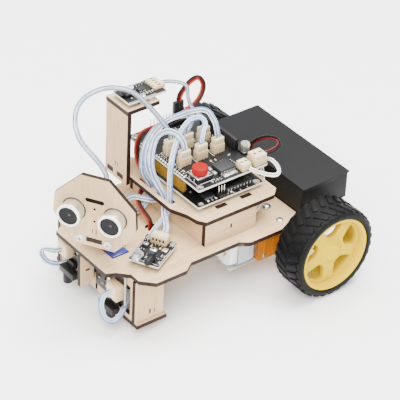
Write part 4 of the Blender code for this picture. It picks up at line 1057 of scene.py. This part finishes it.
def shield():
    pcb = Group("shield")
    top = SHIELD_TOP
    board(pcb, (-46.0, 30.4), (-76.6, -20.5), SHIELD_LOW, 1.2,
          [(-42.5, -73.2, 1.6), (27.2, -73.4, 1.6), (-42.5, -24.0, 1.6)])
    for x in SENSOR_ROWS:
        for y in SENSOR_PLACES:
            plug(pcb, (x, x + 5.2), (y, y + 8.4), top, 95.6)
    plug(pcb, (22.0, 29.8), (-41.0, -33.5), top, 89.8, 2)
    plug(pcb, (21.0, 30.0), (-31.0, -20.8), top, 92.2, 2)
    driver(pcb, top)
    pcb.lathe("silver", [(0, 0), (0, 3.1), (0.8, 3.2), (1.2, 2.95), (1.6, 3.2), (6.4, 3.2),
                         (6.9, 2.9), (6.9, 0)], (11.5, -24.7, top), ALONG_Z, 36)
    pcb.box("black", (8.1, 14.9), (-28.1, -21.3), (top, top + 1.1), 0.3)
    socket_strip(pcb, (-30.0, 7.6), (-29.7, -27.2), top, 93.1, 15)
    servo_pins(pcb, top)
    button_case(pcb, top)
    small_parts(pcb, top)
    printed_lines(pcb, top)
    for x, ways in HEADERS:
        solder_row(pcb, x, (-76.3, -73.8), top, ways)
    pcb.finish("shield_board")
    cap = Group("button", "button", "red_plastic")
    cap.lathe("red", [(0, 0), (0, 4.9), (0.3, 5.2), (3.6, 5.2), (4.35, 4.9), (4.65, 4.3),
                      (4.7, 3.6), (4.7, 0)], (BUTTON_X, BUTTON_Y, 88.6), ALONG_Z, 48)
    cap.finish("button_cap")


def driver(pcb, top):
    """The motor driver: a thick chip with legs in front and a plated strip behind."""
    chip(pcb, (14.5, 24.3), (-54.5, -42.5), top, 3.2, 10)
    pcb.box("tin", (25.2, 28.0), (-54.0, -43.2), (top, top + 0.7), 0.12)
    for y in (-53.4, -48.4):
        pcb.box("silver", (25.6, 27.6), (y, y + 4.0), (top + 0.5, top + 1.5), 0.25)


def socket_strip(group, x, y, low, high, ways):
    group.box("black", x, y, (low, high), 0.12)
    for middle in row(x, ways):
        # the openings on top are thin near-black sheets of painted shade
        group.box("slot", about(middle, 0.45), inset(y, 0.75), (high - 0.2, high + 0.03), 0.01)
        group.box("chip", about(middle, 0.85), inset(y, -0.08), (low + 1.0, high - 0.7), 0.04)


def servo_pins(pcb, top):
    """Three-way pins on the far edge, where the servo's housing is pushed on."""
    for x in ((-44.2, -41.7), (-40.6, -38.1)):
        pcb.box("black", x, (-62.0, -31.0), (top, top + 2.5), 0.2)
    for y in steps(-60.7, 2.55, 12):
        for x in (-42.95, -39.35):
            if x < -42 and -43 < y < -34:       # the housing covers these
                continue
            pcb.box("tin", about(x, 0.32), about(y, 0.32), (top + 2.3, top + 8.4), 0.1)


def button_case(pcb, top):
    x, y = BUTTON_X, BUTTON_Y
    pcb.box("black", about(x, 6.0), about(y, 6.0), (top, top + 3.2), 0.4)
    pcb.box("silver", about(x, 5.8), about(y, 5.8), (top + 3.1, top + 3.4), 0.12)
    for px in about(x, 4.6):
        for py in about(y, 4.6):
            pcb.rod("black", 0.75, (px, py, top + 3.3), (px, py, top + 3.7), 12, 0.1)
    for px in about(x, 2.5):
        for py in about(y, 6.2):
            pcb.box("tin", about(px, 0.4), about(py, 0.25), (top, top + 2.2), 0.08)


def small_parts(pcb, top):
    for k in range(4):
        smd(pcb, 27.3, -63.5 + 2.2 * k, top, kind="slot" if k % 2 else "ceramic")
    for x, y, turned in ((8.5, -58.0, True), (10.6, -58.0, True), (8.2, -50.0, False),
                         (11.0, -50.0, False), (9.0, -46.8, False), (11.6, -43.8, True),
                         (14.6, -38.4, False), (17.6, -38.4, False), (9.0, -35.8, True),
                         (-6.2, -70.5, True), (-8.5, -70.5, True), (-21.0, -62.0, True),
                         (-23.4, -62.0, True), (-25.8, -62.0, True), (-6.6, -49.6, False),
                         (-22.6, -48.0, False), (-22.6, -45.6, False), (-33.0, -55.0, True),
                         (-33.0, -50.0, True), (-33.0, -45.0, True), (7.6, -71.5, False),
                         (3.6, -71.5, False), (11.0, -71.5, False)):
        smd(pcb, x, y, top, turned, "slot" if (x * 10) % 3 > 1.4 else "ceramic")
    chip(pcb, (-9.6, -5.6), (-64.0, -58.0), top, 1.5, 4)
    chip(pcb, (-31.0, -26.5), (-74.0, -68.0), top, 1.5, 4)
    pcb.box("silver", (9.0, 12.4), (-66.5, -58.6), (top, top + 3.4), 1.4)
    for x, y in ((16.0, -57.0), (21.0, -57.0)):
        pcb.box("silver", about(x, 1.7), about(y, 1.1), (top, top + 1.8), 0.2)
    for x in steps(-36.0, 3.4, 3):
        pcb.box("lamp_clear", (x, x + 1.6), (-66.0, -65.2), (top, top + 0.8), 0.15)
    pin_row(pcb, (-8.8, -3.8), (-44.0, -36.5), (top, 92.5), 3)


def printed_lines(pcb, top):
    """Plain printed outlines round the sockets."""
    def line(x, y):
        pcb.box("print", x, y, (top - 0.02, top + 0.035), 0.01)

    for x in SENSOR_ROWS:
        for y in SENSOR_PLACES:
            line((x - 0.9, x - 0.65), (y - 0.6, y + 9.0))
            line((x - 0.9, x + 6.1), (y - 0.8, y - 0.55))
    line((11.6, 25.2), (-73.9, -73.65))
    line((11.6, 11.85), (-73.9, -60.2))
    line((25.2, 25.45), (-73.9, -60.2))
    for y in steps(-60.0, 4.8, 6):
        line((-36.5, -34.0), (y, y + 0.3))
    for x in row((-18.0, 18.5), 14):
        line(about(x, 0.5), (-72.9, -72.6))


def servo_housing():
    """The three-way housing on the end of the servo's lead."""
    plug_group = Group("servo_housing", "chassis", "black_plastic")
    plug_group.box("black", (-44.3, -41.6), (-42.2, -34.6), (87.5, 99.6), 0.35)
    # the side windows are thin near-black sheets of painted shade
    for y in (-40.9, -38.4, -35.9):
        for x in (-44.32, -41.58):
            plug_group.box("slot", about(x, 0.05), about(y, 0.6), (93.6, 97.0), 0.02)
    return plug_group.finish("servo_plug")


# ---------------------------------------------------------------- sensors

MAST_BOARD_LOW = 121.0
MAST_SCREWS = ((-44.5, -77.0), (-31.5, -77.0))
LINE_BOARD_Y, LINE_FRONT = -134.5, -135.3
OBSTACLE_X, OBSTACLE_Y, OBSTACLE_LOW = 29.7, -110.9, 50.0


def cross_trimmer(group, x, y, z):
    """A small adjuster: a square body with a round top, its slot drawn as a dark cross of painted shade.
    """
    group.box("chip", about(x, 2.0), about(y, 2.0), (z, z + 1.2), 0.15)
    group.rod("silver", 1.6, (x, y, z + 1.0), (x, y, z + 1.8), 24, 0.15)
    for half_x, half_y in ((1.1, 0.2), (0.2, 1.1)):
        group.box("slot", about(x, half_x), about(y, half_y), (z + 1.7, z + 1.83), 0.02)


def mast_sensor():
    pcb = Group("mast_receiver")
    board(pcb, (-47.0, -29.0), (-89.0, -59.0), MAST_BOARD_LOW, 1.0,
          [(x, y, 1.5) for x, y in MAST_SCREWS])
    top = MAST_BOARD_LOW + PCB
    pcb.box("black", (-42.6, -35.0), (-86.5, -80.6), (top, 125.2), 0.5)
    pcb.lathe("black", [(0, 0), (0, 2.4), (1.2, 2.1), (1.9, 1.2), (2.1, 0)],
              (-38.8, -86.3, top + 1.9), FORWARD, 24)
    for x in steps(-41.3, 2.5, 3):
        pcb.box("tin", about(x, 0.3), (-80.7, -78.6), (top, top + 0.6), 0.08)
    for x, y in MAST_SCREWS:
        screw(pcb, (x, y, top), ALONG_Z, 2.3, 1.3, "nylon")
    plug_flat(pcb, (-43.5, -32.5), (-66.0, -57.6), top, 125.6)
    chip(pcb, (-40.5, -36.5), (-75.5, -70.5), top, 1.4, 4)
    for k in range(4):
        smd(pcb, -33.2, -74.0 + 2.2 * k, top)
        smd(pcb, -44.0, -73.0 + 2.2 * k, top, kind="slot")
    pcb.box("lamp_clear", (-33.6, -32.0), (-84.5, -83.7), (top, top + 0.8), 0.15)
    for x in (-46.3, -29.9):
        pcb.box("print", (x, x + 0.2), (-88.0, -67.0), (top - 0.02, top + 0.03), 0.01)
    for x, y in ((-44, -84.0), (-32, -70.0)) + MAST_SCREWS:
        spacer(pcb, x, y, 118.5, 121.1, 2.2)
    pcb.finish("mast_sensor")


def plug_flat(group, x, y, low, high):
    """A side-entry socket: an open box with the housing's ribs showing."""
    group.box("cream", x, y, (low, high - 0.7), 0.4)
    middle = (y[0] + y[1]) / 2
    group.box("ivory", inset(x, 0.6), (y[0] + 0.8, y[1] - 0.2), (high - 1.6, high), 0.4)
    for px in row(x, 4):
        group.box("tin", about(px, 0.3), (y[0] - 0.9, y[0] + 0.3), (low, low + 2.2), 0.08)
        # the openings on top are thin near-black sheets of painted shade
        group.box("slot", about(px, 0.55), (middle - 1.5, middle + 1.2),
                  (high - 0.1, high + 0.03), 0.02)


def line_sensor(side, word):
    def across(low, high):
        return (side * low, side * high)

    pcb = Group(f"line_{word}")
    standing_board(pcb, 15.5, 11.3, 1.2, (side * 17.5, LINE_BOARD_Y, 30.7), 0.68, 0.08)
    front = LINE_FRONT
    pcb.box("cream", across(22.2, 32.8), (-141.3, front), (25.2, 36.3), 0.4)
    pcb.box("ivory", across(23.0, 32.0), (-142.0, -138.4), (26.2, 35.2), 0.4)
    for z in steps(27.6, 2.2, 4):
        pcb.box("tin", across(20.6, 22.4), (front - 1.0, front), about(z, 0.3), 0.08)
    pcb.box("black", across(20.0, 28.0), (-137.6, front), (15.0, 22.0), 0.35)
    pcb.box("black", across(14.0, 30.0), (-142.0, -136.0), (13.0, 17.5), 0.5)
    pcb.rod("black", 3.2, (side * 24.0, -139.0, 6.0), (side * 24.0, -139.0, 14.0), 28, 0.5)
    pcb.rod("lamp_clear", 1.7, (side * 24.0, -139.0, 5.7), (side * 24.0, -139.0, 6.5), 20, 0.15)
    for k, (x, z) in enumerate(((6.0, 38.0), (6.0, 35.0), (10.0, 38.5), (14.0, 38.5), (18.5, 38.5),
                                (6.5, 27.0), (10.5, 24.5), (14.5, 24.5))):
        kind = "tin" if k % 2 else "ceramic"
        pcb.box(kind, across(x - 0.9, x + 0.9), (front - 0.6, front), about(z, 0.5), 0.1)
    pcb.box("chip", across(9.0, 14.0), (front - 1.5, front), (29.0, 34.0), 0.15)
    for z in steps(29.8, 1.15, 4):
        for x in (8.5, 14.5):
            pcb.box("tin", across(x - 0.6, x + 0.6), (front - 0.4, front), about(z, 0.2), 0.05)
    pcb.lathe("silver", [(0, 0), (0, 1.9), (0.9, 1.7), (1.2, 0)], (side * 17.6, front, 32.0), FORWARD, 20)
    pcb.finish(f"line_sensor_{word}")


def obstacle_sensor(side, word):
    place = CAR @ Matrix.Translation((side * OBSTACLE_X, OBSTACLE_Y, 0))
    place = place @ Matrix.Rotation(side * OBSTACLE_YAW, 4, "Z")
    pcb = Group(f"obstacle_{word}", "chassis", "circuit_board", place)
    board(pcb, (-10.6, 10.6), (-14.5, 14.5), OBSTACLE_LOW, 1.2,
          [(0.0, 0.6, 1.6), (-8.4, 12.2, 1.4), (8.4, 12.2, 1.4)])
    top = OBSTACLE_LOW + PCB
    pcb.box("cream", (-5.6, 5.6), (7.2, 14.0), (top, 57.0), 0.35)
    pcb.box("ivory", (-4.9, 4.9), (8.6, 13.4), (56.0, 57.9), 0.3)
    for x in steps(-3.6, 2.4, 4):
        # the socket's openings are thin near-black sheets of painted shade
        pcb.box("slot", about(x, 0.6), (7.1, 7.3), (54.2, 56.0), 0.02)
        pcb.box("gold", about(x, 0.3), (5.6, 7.4), (top, top + 0.8), 0.08)
        pcb.box("gold", about(x, 0.3), (9.5, 10.1), (57.6, 58.4), 0.05)
    for x, kind in ((-5.0, "lamp_clear"), (3.5, "black")):
        pcb.lathe(kind, [(0, 0), (0, 2.9), (0.9, 2.9), (1.0, 2.45), (6.0, 2.45), (7.4, 2.0),
                         (8.2, 1.1), (8.4, 0)], (x, -9.2, 53.9), FORWARD, 28)
        for pin in (-1.2, 1.2):
            pcb.box("tin", about(x + pin, 0.25), (-9.4, -7.4), (53.5, 54.0), 0.05)
            pcb.box("tin", about(x + pin, 0.25), (-7.8, -7.3), (top, 54.0), 0.05)
    pcb.box("silver", (-5.4, -4.6), (-8.6, -4.8), (top + 0.1, top + 0.7), 0.1)
    cross_trimmer(pcb, -6.6, 3.4, top)
    chip(pcb, (-2.2, 2.6), (-5.6, -1.6), top, 1.3, 4, legs_along_y=False)
    pcb.box("silver", (4.8, 8.6), (1.6, 5.4), (top, top + 0.9), 0.4)
    for x, y, turned in ((7.6, -3.0, True), (9.4, -3.0, True), (-8.6, -3.4, True),
                         (6.0, -6.6, False), (8.9, -6.6, False), (-8.4, 8.2, False),
                         (8.6, 8.8, False), (-3.0, 3.6, True),
                         (3.2, 3.6, True), (-6.6, -1.4, False), (9.0, -9.8, True), (-0.9, -8.6, True)):
        smd(pcb, x, y, top, turned, "ceramic" if turned else "slot")
    for x in (-9.9, 9.7):
        pcb.box("print", (x, x + 0.2), (-11.5, 6.0), (top - 0.02, top + 0.03), 0.01)
    pcb.box("print", (-9.9, 9.9), (-12.6, -12.4), (top - 0.02, top + 0.03), 0.01)
    screw(pcb, (0.0, 0.6, top), ALONG_Z, 2.5, 1.3, "silver")
    spacer(pcb, 0, 0.0, 47.3, 50.1, 2.6)
    pcb.finish(f"obstacle_sensor_{word}")


# ---------------------------------------------------------------- fastenings on the decks

def fittings():
    deck = Group("fastenings", "chassis", "bare_steel")
    washer = [(0, 1.4), (0, 3.4), (0.5, 3.4), (0.5, 1.4), (0, 1.4)]
    for x, y in ((27.5, -17.0), (-27.5, -17.0)):
        deck.lathe("steel", washer, (x, y, DECK_TOP + 0.02), sides=28)
        screw(deck, (x, y, DECK_TOP + 0.5), ALONG_Z, 2.6, 1.4)
    for x, y in ((44.0, -19.0), (-44.0, -19.0), (13.5, -93.0), (-13.5, -93.0)):
        screw(deck, (x, y, DECK_TOP), ALONG_Z, 2.4, 1.2)
    ticks(deck, [(-39.4, -91.3, 72.5), (-37.2, -91.3, 72.5)], (0.3, 0.04, 1.5))
    ticks(deck, [(43.0, -118.5, 16.2)], (0.04, 0.3, 1.4))
    deck.finish()


def build():
    kept_nodes()
    all_leads(servo_housing())
    head()
    servo()
    caster()
    battery()
    controller()
    shield()
    mast_sensor()
    fittings()
    for side, word in ((1, "left"), (-1, "right")):
        tyre(side, word)
        rim(side, word)
        motor(side, word)
        line_sensor(side, word)
        obstacle_sensor(side, word)


# ---------------------------------------------------------------- studio

FLOOR_SIZE = 6.0
FLOOR_DROP = 0.0002       # the floor lies this far under the wheels
LIGHTS = {
    # name: (place, size, power)
    "key": ((0.9, -0.9, 1.5), 0.9, 62),
    "fill": ((-1.2, -0.8, 0.9), 1.6, 24),
    "top": ((0.0, 0.3, 1.8), 1.3, 100),
}
LIGHT_AIM = (0, 0, 0.05)
WORLD_STRENGTH = 1.5

CAMERA_AZIMUTH = radians(50.996)
CAMERA_ELEVATION = radians(35.046)
CAMERA_ROLL = radians(2.788)
CAMERA_DISTANCE = 1.37244
CAMERA_TARGET = (0.0114, 0.0027, 0.06006)
CAMERA_LENS = 190.8
SENSOR_WIDTH = 36.0


def floor():
    mesh = bmesh.new()
    bmesh.ops.create_grid(mesh, x_segments=1, y_segments=1, size=FLOOR_SIZE / 2)
    data = bpy.data.meshes.new("floor")
    mesh.to_mesh(data)
    mesh.free()
    data.materials.append(plain("floor", grey(0.93), 0.85, spread=0.01, bump=0.0))
    plane = add("floor", data)
    plane.location.z = -FLOOR_DROP


def area_light(name, place, size, power):
    data = bpy.data.lights.new(name, "AREA")
    data.size = size
    data.energy = power
    lamp = add(name, data)
    lamp.location = place
    aim = Vector(LIGHT_AIM) - Vector(place)
    lamp.rotation_euler = aim.to_track_quat("-Z", "Y").to_euler()


def studio():
    floor()
    for name, (place, size, power) in LIGHTS.items():
        area_light(name, place, size, power)
    world = bpy.data.worlds.new("studio")
    world.use_nodes = True
    background = world.node_tree.nodes["Background"]
    background.inputs["Color"].default_value = (1, 1, 1, 1)
    background.inputs["Strength"].default_value = WORLD_STRENGTH
    bpy.context.scene.world = world


def camera():
    azimuth, elevation = CAMERA_AZIMUTH, CAMERA_ELEVATION
    back = Vector((sin(azimuth) * cos(elevation), -cos(azimuth) * cos(elevation), sin(elevation)))
    level = Vector((cos(azimuth), sin(azimuth), 0))
    upright = back.cross(level)
    right = cos(CAMERA_ROLL) * level + sin(CAMERA_ROLL) * upright
    up = back.cross(right)
    data = bpy.data.cameras.new("camera")
    data.lens = CAMERA_LENS
    data.sensor_width = SENSOR_WIDTH
    holder = add("camera", data)
    matrix = Matrix((right, up, back)).transposed().to_4x4()
    matrix.translation = Vector(CAMERA_TARGET) + CAMERA_DISTANCE * back
    holder.matrix_world = matrix
    bpy.context.scene.camera = holder


# ---------------------------------------------------------------- the whole

build()
camera()
studio()
